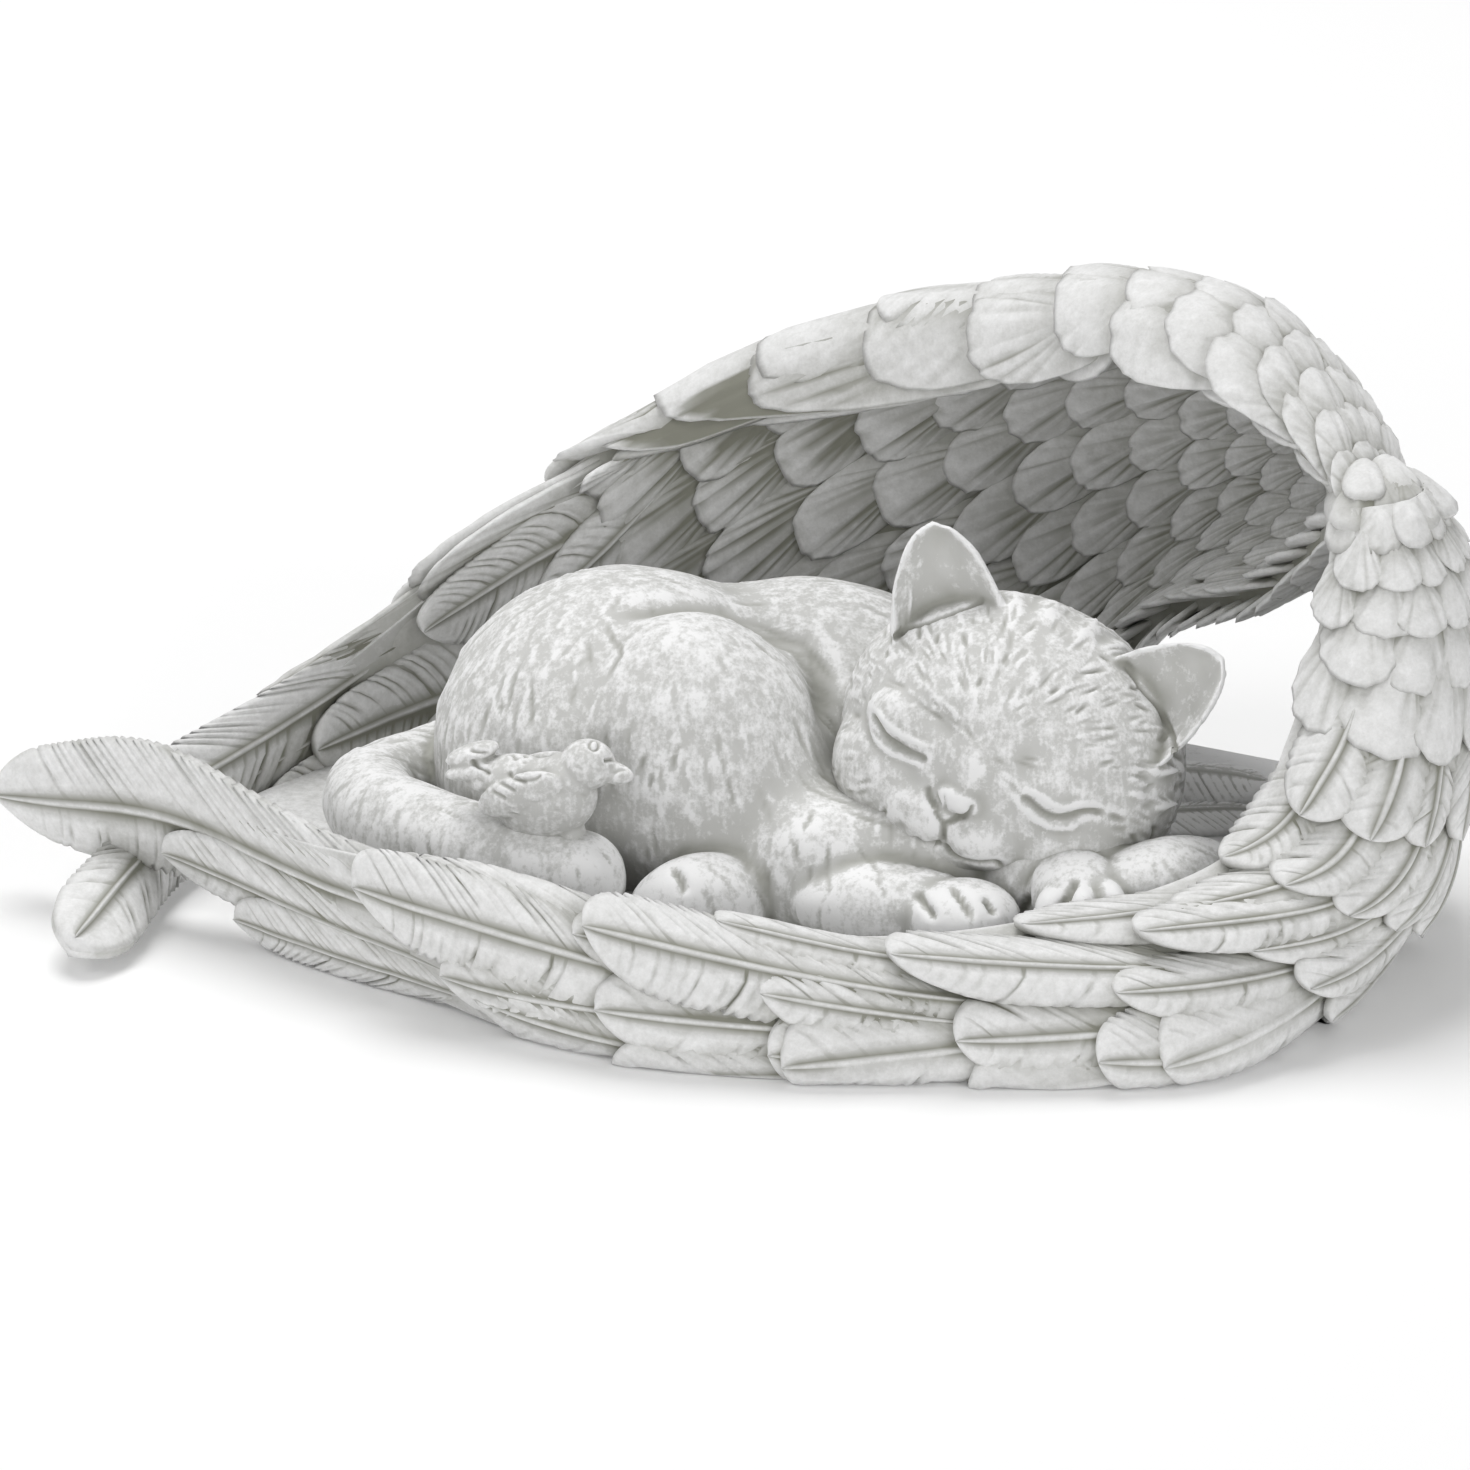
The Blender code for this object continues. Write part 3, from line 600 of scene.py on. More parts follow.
# %% [markdown]
# ## The rule for the rows
#
# Coverts lie in rows from the wrist, and each row's step grows with its distance from the wrist. Neighbouring rows
# are shifted like bricks. Towards the foot of the wing the feathers turn down, so they fan. The primaries, the long
# feathers at the rim and the tip, are too few for a rule and are listed one by one.

# %% Seeds for one face of a wing
FEATHER_THICKNESS = 3.1 * MM
LONGEST_COVERT = 56
WIDEST_SMALL = 8
SLENDER = 2.2
BACK_PRIMARIES = [
    (0.83, 0.18, 76, 16, 0),
    (0.90, 0.84, 80, 15, 0),
    (0.79, 0.46, 70, 17, 2),
    (0.73, 0.18, 60, 16, -3),
]
BACK_INNER_RIM = [(0.715, 0.86, 66, 16, 4), (0.66, 0.56, 46, 17, -14, 0.15)]
BACK_OUTER_RIM = [(0.72, 0.80, 66, 16, 3), (0.66, 0.52, 56, 17, -4, 0.1), (0.635, 0.90, 56, 16, 4, 0.2)]
RIM_BLADES = [(0.795, 0.95, 62, 14, 7), (0.705, 1.00, 62, 15, 7), (0.595, 1.01, 60, 16, 7)]
FRONT_PRIMARIES = [
    (0.90, 0.38, 80, 15, 0),
    (0.86, 0.10, 60, 13, -2),
    (0.762, 0.79, 60, 19, 10, 0.45),
    (0.66, 0.79, 60, 19, 10, 0.45),
    (0.55, 0.79, 56, 18, 10, 0.45),
    (0.443, 0.79, 50, 17, 9, 0.45),
    (0.72, 0.30, 55, 16, 4),
    (0.61, 0.30, 50, 16, 4),
    (0.50, 0.30, 50, 16, 4),
]


def reach_along(rails, spots, t):
    """How far each spot lies from the first, in millimetres along the wing at one share across."""
    line, _, _, _ = sheet_frame(rails, spots, t)
    return np.concatenate([[0], np.cumsum(np.linalg.norm(np.diff(line, axis=0), axis=1))]) / MM


def edge_seeds(rails, first, last, spacing, length, width, turn):
    """A row of small feathers that hangs over the foot edge of a wing."""
    spots = np.linspace(first, last, 200)
    reach = reach_along(rails, spots, 0.0)
    return [(float(np.interp(place, reach, spots)), -0.035, length, width, turn)
            for place in np.arange(spacing / 2, reach[-1], spacing)]


def covert_seeds(rails, first_step, growth, fan, end, longest_step=30, narrowest=4.5, widest=16, spacing=0.80):
    """(tip share along, tip share across, length, width, turn) of each covert, in shares, millimetres and degrees."""
    spots = np.linspace(0, 1, 200)
    reach = reach_along(rails, spots, 0.6)
    tip, row, seeds = first_step, 0, []
    while tip < np.interp(end, spots, reach):
        step = min(first_step + growth * tip, longest_step)
        s = float(np.interp(tip, reach, spots))
        width = float(np.clip(step * 1.15, narrowest, widest))
        column, _, _, _ = sheet_frame(rails, s, np.linspace(0, 1, 30))
        tall = np.linalg.norm(np.diff(column, axis=0), axis=1).sum() / MM
        across = max(2, round(tall / (width * spacing)))
        for n in range(across):
            t = (n + 0.5 + 0.25 * (-1) ** row) / across
            length = min(step * 2.1, LONGEST_COVERT)
            seeds.append((s, t, length, width, fan[0] + (fan[1] - fan[0]) * t))
        tip, row = tip + step, row + 1
    return seeds


def seed_mesh(name, rails, seeds, face, thickest=FEATHER_THICKNESS):
    """Loose points with what the tree needs to know of each feather."""
    table = np.array([(*seed, 0.0)[:6] for seed in seeds], float)
    s, t, length, width, turn, layer = table.T
    _, ds, dt, _ = sheet_frame(rails, s, t)
    mesh = mesh_from(name, np.zeros((len(table), 3)), [])
    thick = np.clip(0.24 * width * MM, 1.1 * MM, thickest)
    put(mesh, "tip", "FLOAT_VECTOR", np.stack([s, t, np.radians(turn)], 1))
    put(mesh, "size", "FLOAT_VECTOR", np.stack([length * MM, width * MM, thick], 1))
    metric = [1 / np.linalg.norm(ds, axis=1), 1 / np.linalg.norm(dt, axis=1), np.full(len(s), float(face))]
    put(mesh, "metric", "FLOAT_VECTOR", np.stack(metric, 1))
    put(mesh, "layer", "FLOAT", layer)
    return mesh


def lay_feathers(name, rails, sheet, seeds, face, patterns, thickest=FEATHER_THICKNESS, **changes):
    """Runs the tree on the seeds and returns the finished, plain mesh."""
    if not len(seeds):
        return None
    holder = new_object(name, seed_mesh(name, rails, seeds, face, thickest))
    add_tree(holder, "Lay feathers", layer_tree, {"Sheet": sheet, "Patterns": patterns, **changes})
    mesh = baked(holder)
    if outward(rails) * face < 0:
        mesh.flip_normals()
    return mesh


def feathered_face(name, rails, sheet, face, coverts, primaries, seed, shaft_from=34, shaft_below=2.0):
    """All feathers of one face, each with a pattern of its size. The longer coverts show a shaft."""
    def shows_shaft(feather):
        return feather[2] > shaft_from and feather[1] < shaft_below

    plain = [f for f in coverts if f[3] > WIDEST_SMALL and not shows_shaft(f)]
    shorter = [f for f in primaries if f[2] <= LONGEST_COVERT]
    sorts = {
        "small": (small_set, [f for f in coverts if f[3] <= WIDEST_SMALL]),
        "covert": (covert_set, [f for f in plain if f[2] <= SLENDER * f[3]]),
        "pad": (pad_set, [f for f in plain if f[2] > SLENDER * f[3]]),
        "middle": (middle_set, [f for f in coverts if shows_shaft(f)] + shorter),
        "long": (long_set, [f for f in primaries if f[2] > LONGEST_COVERT]),
    }
    meshes = []
    for sort, (patterns, seeds) in sorts.items():
        mesh = lay_feathers(f"{name}_{sort}", rails, sheet, seeds, face, patterns, Seed=seed)
        if mesh:
            meshes.append(mesh)
            print(name, sort, len(seeds), "feathers", triangles(mesh), "triangles")
    return meshes


# %% [markdown]
# Each face of each wing gets its coverts and its primaries. The back wing's hood has a row of small feathers that
# hangs over its lower edge.

# %% The four faces
hood_edge = edge_seeds(BACK_WING, 0.02, 0.40, 7.5, 15, 10.5, -48)
back_inner = feathered_face("back_inner", BACK_WING, back_sheet, -1,
                            covert_seeds(BACK_WING, 5.5, 0.085, (-25, 3), 0.66) + hood_edge,
                            BACK_PRIMARIES + BACK_INNER_RIM, 3, 60)
back_outer = feathered_face("back_outer", BACK_WING, back_sheet, 1,
                            covert_seeds(BACK_WING, 7.0, 0.12, (-25, 3), 0.66) + hood_edge,
                            BACK_PRIMARIES + BACK_OUTER_RIM, 5, 34, 0.82)
front_outer = feathered_face("front_outer", FRONT_WING, front_sheet, 1,
                             covert_seeds(FRONT_WING, 5.5, 0.22, (-8, 8), 0.80), FRONT_PRIMARIES, 7)
front_inner = feathered_face("front_inner", FRONT_WING, front_sheet, -1,
                             covert_seeds(FRONT_WING, 8.0, 0.30, (-8, 8), 0.80), FRONT_PRIMARIES, 9)

# %% [markdown]
# Each wing ends in one long feather that is carved on both sides. So it is laid twice, once on each face of a thin
# sheet. The feathers that step out over the back wing's rim are made the same way.

# %% Tips and rim
TIP_THICKNESS = 4.6 * MM
STILL = {"Half Sheet": 1.0 * MM, "Turn Jitter": 0.0, "Size Jitter": 0.0}
TIP_LAY = {**STILL, "Root Sink": 0.1, "Tip Rise": 0.1}
RIM_LAY = {**STILL, "Root Sink": 0.35, "Tip Rise": 0.35}
TIP_FEATHERS = [
    ("rim_blades", BACK_WING, back_sheet, RIM_BLADES, pad_set, FEATHER_THICKNESS, RIM_LAY),
    ("back_tip", BACK_WING, back_sheet, [(1.00, 0.50, 120, 20, 0)], tip_set, TIP_THICKNESS, TIP_LAY),
    ("front_tip", FRONT_WING, front_sheet, [(1.02, 0.55, 105, 18.5, -1)], tip_set, TIP_THICKNESS, TIP_LAY),
]
tips = []
for face in (1, -1):
    for name, rails, sheet, seeds, patterns, thickest, changes in TIP_FEATHERS:
        tips.append(lay_feathers(name, rails, sheet, seeds, face, patterns, thickest, **changes))
print("tip feathers", [triangles(mesh) for mesh in tips])

# %% [markdown]
# Between the feathers the wing itself shows a little. It is a plain sheet with rounded edges that narrows towards
# the tip, where only feathers are left.

# %% The sheets under the feathers
def wing_core(name, rails, end=0.87, taper=0.74):
    """The smooth wing between the feathers: a grid bent over the rails and given its thickness."""
    steps_s, steps_t = 200, 50
    u, v = np.meshgrid(np.linspace(0, 1, steps_s), np.linspace(0, 1, steps_t), indexing="ij")
    rounding = np.sqrt(1 - np.clip((u - taper) / (1 - taper), 0, 1) ** 2 * 0.9)
    point, _, _, _ = sheet_frame(rails, u * end, 0.5 + (v - 0.5) * rounding)
    faces = grid_quads(steps_s, steps_t)
    sheet = new_object(name, mesh_from(name, point.reshape(-1, 3), faces))
    solid = sheet.modifiers.new("Thickness", "SOLIDIFY")
    solid.thickness, solid.offset = SHEET_THICKNESS, 0.0
    solid.use_even_offset = True
    rounded = sheet.modifiers.new("Round edge", "BEVEL")
    rounded.width, rounded.segments, rounded.limit_method = 1.2 * MM, 2, "ANGLE"
    return baked(sheet)


back_core, front_core = wing_core("back_core", BACK_WING), wing_core("front_core", FRONT_WING)
print("cores", triangles(back_core), triangles(front_core))

# %% [markdown]
# ## The bed
#
# The two wings are cast on a flat bed. It shows a little beside the tail and at the open side on the right.

# %% Bed and sill
def nest_bed():
    """The filled bed between the foot rails, with its open corner."""
    back, _, _, _ = sheet_frame(BACK_WING, np.linspace(0.36, 0.84, 60), 0.0)
    front, _, _, _ = sheet_frame(FRONT_WING, np.linspace(0.30, 0.74, 70), 0.0)
    outline = np.vstack([back[::-1], [to_statue((104, 36, 0))], front])[:, :2]
    count = len(outline)
    low = np.column_stack([outline, np.zeros(count)])
    high = np.column_stack([outline, np.full(count, NEST_HEIGHT * MM)])
    bm = bmesh.new()
    lower = [bm.verts.new(p) for p in low]
    upper = [bm.verts.new(p) for p in high]
    bm.faces.new(lower[::-1])
    bm.faces.new(upper)
    for k in range(count):
        n = (k + 1) % count
        bm.faces.new((lower[k], lower[n], upper[n], upper[k]))
    bmesh.ops.triangulate(bm, faces=bm.faces)
    bmesh.ops.recalc_face_normals(bm, faces=bm.faces)
    mesh = bpy.data.meshes.new("nest_bed")
    bm.to_mesh(mesh)
    bm.free()
    return mesh


def flat_feather(pattern, root, tip, width, thickness, lift):
    """A feather pattern laid flat between two drawn places. Lift raises its middle line."""
    share, across, height = read(pattern.attributes["lay"].data, "vector", 3).astype(float).T
    root, tip = np.array(root, float), np.array(tip, float)
    side = np.cross((0, 0, 1), tip - root)
    side = side / np.linalg.norm(side) * width / 2
    points = root + share[:, None] * (tip - root) + across[:, None] * side
    points[:, 2] += height * thickness / 2 + lift * np.sin(np.clip(share, 0, 1) * math.pi) * (1 - across**2)
    return mesh_from("sill_feather", to_statue(points), [list(face.vertices) for face in pattern.polygons])


bed = nest_bed()
middle_pattern = middle_set.objects[0].data
sill = [
    flat_feather(middle_pattern, (66, 26, 12), (99.5, 17, 14.5), 19, 4.5, 1.5),
    flat_feather(middle_pattern, (66, 4, 12), (97, 8, 12.8), 15, 3.4, 0.8),
]

# %% [markdown]
# Where the two wings meet at the wrist, short feathers lie over the joint and point away from it.

# %% The wrist's feathers
WRIST_PADS = [
    ((112, -18, 88), (106.5, -29, 82), 9),
    ((114, -18, 88), (113.5, -31.5, 81), 9),
    ((116, -17, 88), (120.5, -29, 82), 9),
    ((117, -14, 88), (126.5, -21, 82), 9),
    ((111, -14, 89.5), (110, -25.5, 86.5), 8),
    ((114, -12, 89.5), (118, -22.5, 86.5), 8),
]
wrist_pattern = small_set.objects[0].data
wrist_pads = [flat_feather(wrist_pattern, root, tip, width, 3.0, 0.8) for root, tip, width in WRIST_PADS]
print(len(sill), "sill feathers and", len(wrist_pads), "feathers on the wrist")

# %% [markdown]
# ## The cat's clay
#
# A sculptor builds an animal from lumps of clay and smooths them together. Ellipsoids and a Voxel Remesh do the
# same: the remesh melts overlapping lumps into one skin, and Smooth rounds the joints. It is done twice. The large
# masses are smoothed strongly, so that no lump reads as a ball. Then the small ones (ears, muzzle, paws, locks of
# hair) join them and are smoothed only a little, so that they stay crisp.

# %% Lumps
CAT_LUMPS = [
    ((-20, 6, 27), (36, 35, 34), (0, 0, 0)),
    ((14, 17, 22), (40, 31, 33), (0, 8, 0)),
    ((-6, -13, 30), (24, 21, 31), (0, -12, 0)),
    ((38, 6, 22), (30, 24, 26), (0, 0, 0)),
    ((15, -32, 18), (16, 12, 15), (0, 0, 0)),
    ((6, -20, 20), (18, 16, 18), (0, 0, 0)),
    ((36, -27, 22), (19, 14, 14), (0, 0, 0)),
]
PAW_LUMPS = [
    ((-6, -40, 16), (13, 9, 9), (0, 0, 20)),
    ((58, -34, 19), (16, 13, 12), (0, 0, 0)),
    ((27, -44, 17), (18, 9, 8), (0, 0, -12)),
    ((40, -51, 18), (10, 9, 7), (0, 0, 0)),
    ((60, -46, 21), (8.5, 10, 7), (0, 0, 10)),
    ((55.6, -53.5, 19.8), (3.4, 6, 5), (0, 0, -16)),
    ((60.4, -54.5, 20.4), (3.4, 6, 5.2), (0, 0, 2)),
    ((65.2, -53, 21), (3.2, 6, 5), (0, 0, 20)),
    ((76, -42, 20), (16, 9, 9), (0, 0, 30)),
]
TAIL_PATH = [(-53, 22, 17), (-66, 3, 19.5), (-64, -14, 22), (-51, -27, 22), (-37, -35, 21), (-28, -38, 20)]
TAIL_RADIUS = 8.8
HEAD_CENTRE = (50, -17, 37)
HEAD_TURNS = (-4, 20, -18)
SKULL_LUMPS = [
    ((0, 0, 0), (32, 26, 27)),
    ((-14, -10, -8), (15, 14, 13)),
    ((14, -10, -8), (15, 14, 13)),
    ((-2, -16, 9), (14, 8, 9)),
    ((-2, -20.5, 1), (5.5, 6.5, 9)),
    ((-16.5, -17, 2.5), (8.5, 6, 6.5)),
    ((12.5, -17, 3), (8.5, 6, 6.5)),
    ((-7.4, -20.4, -9.6), (8.4, 7.4, 6.4)),
    ((3.4, -20.4, -9.4), (8.4, 7.4, 6.4)),
    ((-2, -19.4, -15.0), (8, 6, 5)),
]
FACE_LUMPS = [
    ((-2.4, -25.0, -3.6), (4.2, 2.8, 2.7)),
    ((-6.6, -22.2, -9.8), (6.4, 5.4, 4.6)),
    ((2.6, -22.2, -9.6), (6.4, 5.4, 4.6)),
]
HAIR_LOCKS = [
    ([(19, -13, 10), (25.5, -10, 11), (29.5, -6, 11.5)], 2.6),
    ([(21, -13, 5), (27.5, -10, 5), (31.5, -6, 5.5)], 2.4),
    ([(20, -15, -1), (27.5, -12, -2), (31, -8.5, -2.5)], 2.4),
    ([(17, -16, -8), (24.5, -13.5, -10), (27.5, -10, -12)], 2.2),
]
EAR_BASE = (19.5, -1, 17)
EAR_HEIGHT, EAR_WIDTH, EAR_CUP, EAR_THICKNESS = 22.0, 22.0, 7.0, 2.8
EAR_TURNS = (0, 30, -18)
BIRD_PLACE = (-34, -35, 34)
BIRD_HEADING = -14.0
BIRD_LENGTH = 31.0
BIRD_LUMPS = [
    ((0.02, 0, 0), (0.31, 0.20, 0.24), 20),
    ((0.14, 0, 0.13), (0.20, 0.16, 0.16), 30),
    ((0.27, 0, 0.24), (0.16, 0.145, 0.145), 0),
    ((0.41, 0, 0.20), (0.13, 0.06, 0.065), -6),
    ((-0.22, 0, 0.13), (0.24, 0.14, 0.11), 14),
    ((-0.42, 0.02, 0.23), (0.17, 0.10, 0.055), 22),
    ((-0.40, -0.05, 0.15), (0.17, 0.07, 0.05), 14),
    ((-0.09, -0.155, 0.08), (0.27, 0.055, 0.12), 24),
    ((-0.09, 0.155, 0.08), (0.27, 0.055, 0.12), 24),
    ((0.04, 0, -0.26), (0.17, 0.15, 0.18), 0),
    ((0.17, -0.02, -0.36), (0.11, 0.13, 0.30), 0),
]
print(len(CAT_LUMPS) + len(PAW_LUMPS) + len(SKULL_LUMPS) + len(FACE_LUMPS), "lumps for the cat,",
      len(BIRD_LUMPS), "for the bird")

# %% [markdown]
# A lump is a round ball, stretched, turned and set down. These few functions make lumps, pile them up and melt
# them into one skin.

# %% Kneading
def turned(degrees):
    return Euler([math.radians(a) for a in degrees], "XYZ").to_matrix()


def unit_ball(subdivisions=4):
    bm = bmesh.new()
    bmesh.ops.create_icosphere(bm, subdivisions=subdivisions, radius=1)
    form = np.array([v.co for v in bm.verts]), [[v.index for v in face.verts] for face in bm.faces]
    bm.free()
    return form


BALL, SMALL_BALL = unit_ball(), unit_ball(2)
print("a ball has", len(BALL[1]), "faces, a small one", len(SMALL_BALL[1]))


def lump(place, centre, half_sizes, turns=(0, 0, 0), ball=BALL):
    """A lump of clay in drawn millimetres, set down in the frame of its place."""
    matrix = place @ Matrix.LocRotScale(Vector(centre), turned(turns), Vector(half_sizes))
    return ball[0] @ np.array(matrix.to_3x3()).T + np.array(matrix.translation), ball[1]


def pile(name, pieces):
    points, faces, start = [], [], 0
    for piece_points, piece_faces in pieces:
        points.append(piece_points)
        faces += [[start + corner for corner in corners] for corners in piece_faces]
        start += len(piece_points)
    return mesh_from(name, np.vstack(points), faces)


def melted(name, pieces, grain, passes):
    """One closed skin over all the lumps, in drawn millimetres."""
    clay = new_object(name, pile(name, pieces))
    remesh = clay.modifiers.new("One skin", "REMESH")
    remesh.mode, remesh.voxel_size = "VOXEL", grain
    smooth = clay.modifiers.new("Blend", "SMOOTH")
    smooth.iterations, smooth.factor = passes, 0.5
    return baked(clay)


def as_piece(mesh):
    """A finished skin, ready to be melted with more clay."""
    return points_of(mesh), [list(face.vertices) for face in mesh.polygons]


# %% [markdown]
# One lump also closes the joint of the two wings at the wrist. The ears are thin cupped plates, and the locks of
# hair and the tail are balls that overlap along a path.

# %% Wrist, ears and locks
STRAIGHT = Matrix.Identity(4)
HEAD = Matrix.Translation(HEAD_CENTRE) @ turned(HEAD_TURNS).to_4x4()
WRIST_LUMP = ((113, -16, 81.5), (9, 11, 6.5))
wrist = melted("wrist", [lump(STRAIGHT, *WRIST_LUMP)], 0.8, 6)
move_points(wrist, to_statue(points_of(wrist)))
print("wrist", triangles(wrist))


def ear(side):
    """A cupped triangular plate that stands on the head, open towards the front. Side is -1 or 1."""
    share = np.linspace(0, 1, 25)
    across = np.linspace(-1, 1, 21)
    s, a = np.meshgrid(share, across, indexing="ij")
    half = EAR_WIDTH / 2 * leaf_outline(s, 1.0, 0.5, -0.15)
    depth = -EAR_CUP * a**2 * (1 - s) ** 0.5
    sheets = []
    for up in (1, -1):
        thick = up * EAR_THICKNESS / 2 * (0.7 + 0.4 * a**4) * (1 - 0.3 * s)
        sheets.append(np.stack([a * half, depth + thick, s * EAR_HEIGHT - 3], axis=-1).reshape(-1, 3))
    n, m = len(share), len(across)
    index = np.arange(n * m).reshape(n, m)
    faces = []
    for k in range(2):
        quads = grid_quads(n, m) + k * n * m
        faces += (quads if k else quads[:, ::-1]).tolist()
    edge = [*index[:, 0], *index[-1, 1:], *index[-2::-1, -1], *index[0, -2:0:-1]]
    for k in range(len(edge)):
        a0, a1 = edge[k], edge[(k + 1) % len(edge)]
        faces.append((a0, a1, a1 + n * m, a0 + n * m))
    turn = turned((EAR_TURNS[0], side * EAR_TURNS[1], side * EAR_TURNS[2])).to_4x4()
    place = HEAD @ Matrix.Translation((side * EAR_BASE[0], EAR_BASE[1], EAR_BASE[2])) @ turn
    return np.vstack(sheets) @ np.array(place.to_3x3()).T + np.array(place.translation), faces


def lock(place, path, radius, end=1.0, count=60, ball=BALL):
    """Overlapping balls along a path: a tail, or with a small end share a pointed lock of hair."""
    spots = along(path, np.linspace(0, 1, count))
    sizes = radius * np.linspace(1, end, count)
    return [lump(place, spot, (size,) * 3, ball=ball) for spot, size in zip(spots, sizes)]


# %% [markdown]
# The grain is the size of the remesh's cells in millimetres. It is finest where the carving will be finest.

# %% Body, head and bird
masses = melted("cat_masses", [lump(STRAIGHT, *spec) for spec in CAT_LUMPS], 1.0, 110)
paws = [lump(STRAIGHT, *spec) for spec in PAW_LUMPS] + lock(STRAIGHT, TAIL_PATH, TAIL_RADIUS)
body = melted("cat_body", [as_piece(masses), *paws], 0.80, 5)
skull = melted("skull", [lump(HEAD, *spec) for spec in SKULL_LUMPS], 0.6, 34)
face = [lump(HEAD, *spec) for spec in FACE_LUMPS]
hair = [ball for path, size in HAIR_LOCKS for ball in lock(HEAD, path, size, 0.2, 16, SMALL_BALL)]
head = melted("cat_head", [as_piece(skull), *face, *hair, ear(-1), ear(1)], 0.46, 7)
bird_turn = Matrix.Rotation(math.radians(BIRD_HEADING), 4, "Z")
bird_place = Matrix.Translation(BIRD_PLACE) @ bird_turn @ Matrix.Scale(BIRD_LENGTH, 4)
bird = melted("bird", [lump(bird_place, c, size, (0, -pitch, 0)) for c, size, pitch in BIRD_LUMPS], 0.28, 11)
LOWEST_CLAY = 1 * MM
for mesh in (body, head, bird):
    placed = to_statue(points_of(mesh))
    placed[:, 2] = np.maximum(placed[:, 2], LOWEST_CLAY)
    move_points(mesh, placed)
    print(mesh.name, triangles(mesh))

# %% [markdown]
# ## Carving
#
# Closed lids, a nose and a mouth are lines, and lines are cut, not piled up. Each one is drawn as it is seen from
# the front, in millimetres right of and above the middle of the picture, and dropped onto the skin along the line
# of sight. The points near it then move along their normals: inwards for a groove, outwards for a ridge.

# %% The view that the lines are drawn in
ELEVATION, DISTANCE = math.radians(22), 1.0
LOOKED_AT = Vector((-0.0004, -0.0015, 0.034))
LINE_OF_SIGHT = Vector((0, math.cos(ELEVATION), -math.sin(ELEVATION)))
PICTURE_UP = Vector((0, math.sin(ELEVATION), math.cos(ELEVATION)))
EYE = LOOKED_AT - LINE_OF_SIGHT * DISTANCE
print("the eye is at", [round(c, 3) for c in EYE])

# %% [markdown]
# The tools all work the same way: they add to how far each point will move. Only `finished` moves the points, so
# the order of the cuts doesn't matter.

# %% The carver's tools
DEEPEST_STEP = 9 * MM


class Skin:
    """A mesh on the carver's stand: its points, its normals and how far each point will move."""

    def __init__(self, mesh):
        self.mesh, self.points, self.normals = mesh, points_of(mesh), normals_of(mesh)
        self.move = np.zeros(len(self.points))
        faces = [list(face.vertices) for face in mesh.polygons]
        self.tree = BVHTree.FromPolygons([Vector(p) for p in self.points], faces)

    def seen(self, right, up):
        """Where the line of sight through a place in the picture meets the skin, or None."""
        on_picture = LOOKED_AT + Vector((right * MM, 0, 0)) + PICTURE_UP * (up * MM)
        return self.tree.ray_cast(EYE, (on_picture - EYE).normalized())[0]

    def dropped(self, drawn, count=24):
        """A drawn line, dropped onto the skin. A step away from the rest of the line is left out."""
        spots = [self.seen(*place) for place in along(drawn, np.linspace(0, 1, count))]
        spots = np.array([spot for spot in spots if spot is not None])
        if len(spots) < 3:
            return spots
        depth = spots @ np.array(LINE_OF_SIGHT)
        return spots[np.abs(depth - np.median(depth)) < DEEPEST_STEP]

    def cut(self, path, half_width, height, fade=0.2):
        """Moves what lies near a path. Height is in millimetres, below zero for a groove."""
        if len(path) < 2:
            return
        reach = half_width * MM
        box = np.all((self.points > path.min(0) - 3 * reach) & (self.points < path.max(0) + 3 * reach), axis=1)
        near = np.nonzero(box)[0]
        start, run = path[:-1], np.diff(path, axis=0)
        off = self.points[near, None] - start[None]
        share = np.clip((off * run).sum(-1) / np.maximum((run * run).sum(-1), 1e-12), 0, 1)
        far = np.linalg.norm(off - share[..., None] * run, axis=-1)
        pick = far.argmin(1)
        rows = np.arange(len(near))
        far, place = far[rows, pick], (pick + share[rows, pick]) / len(run)
        ends = soft_step(np.minimum(place, 1 - place) / fade) if fade else 1.0
        self.move[near] += height * MM * ends * np.exp(-((far / reach) ** 2))

    def wrapped(self, place, path, count=16):
        """A line in the frame of a place, in drawn millimetres, pressed onto the nearest skin."""
        spots = [place @ Vector(spot) for spot in along(path, np.linspace(0, 1, count))]
        return np.array([self.tree.find_nearest(Vector(to_statue(spot)))[0] for spot in spots])

    def lines(self, drawn_lines, half_width, height, fade=0.2):
        for drawn in drawn_lines:
            self.cut(self.dropped(drawn), half_width, height, fade)

    def all_lines(self, cuts):
        for lines, half_width, height, fade in cuts:
            self.lines(lines, half_width, height, fade)

    def dent(self, place, radius, height):
        """A soft hollow or swelling around one place in the picture."""
        spot = self.seen(*place)
        if spot is not None:
            far = np.linalg.norm(self.points - np.array(spot), axis=1)
            self.move += height * MM * np.exp(-((far / (radius * MM)) ** 2))

    def flick(self, start, direction, length, half_width, height):
        """A short stroke of the tool that follows the skin."""
        spots, spot = [], Vector(start)
        heading = Vector(direction)
        for _ in range(6):
            found, normal, _, _ = self.tree.find_nearest(spot)
            spots.append(np.array(found))
            heading = (heading - normal * heading.dot(normal)).normalized()
            spot = found + heading * (length * MM / 5)
        self.cut(np.array(spots), half_width, height, 0.45)

    def hand_made(self, size, height, seed):
        """The slow waves that a hand leaves in clay."""
        chance = np.random.default_rng(seed)
        waves = chance.normal(size=(14, 3)) * 2 * math.pi / (size * MM)
        phases = chance.uniform(0, 2 * math.pi, 14)
        self.move += height * MM * np.sin(self.points @ waves.T + phases).sum(1) / 14**0.5

    def finished(self):
        move_points(self.mesh, self.points + self.normals * self.move[:, None])
        return self.mesh


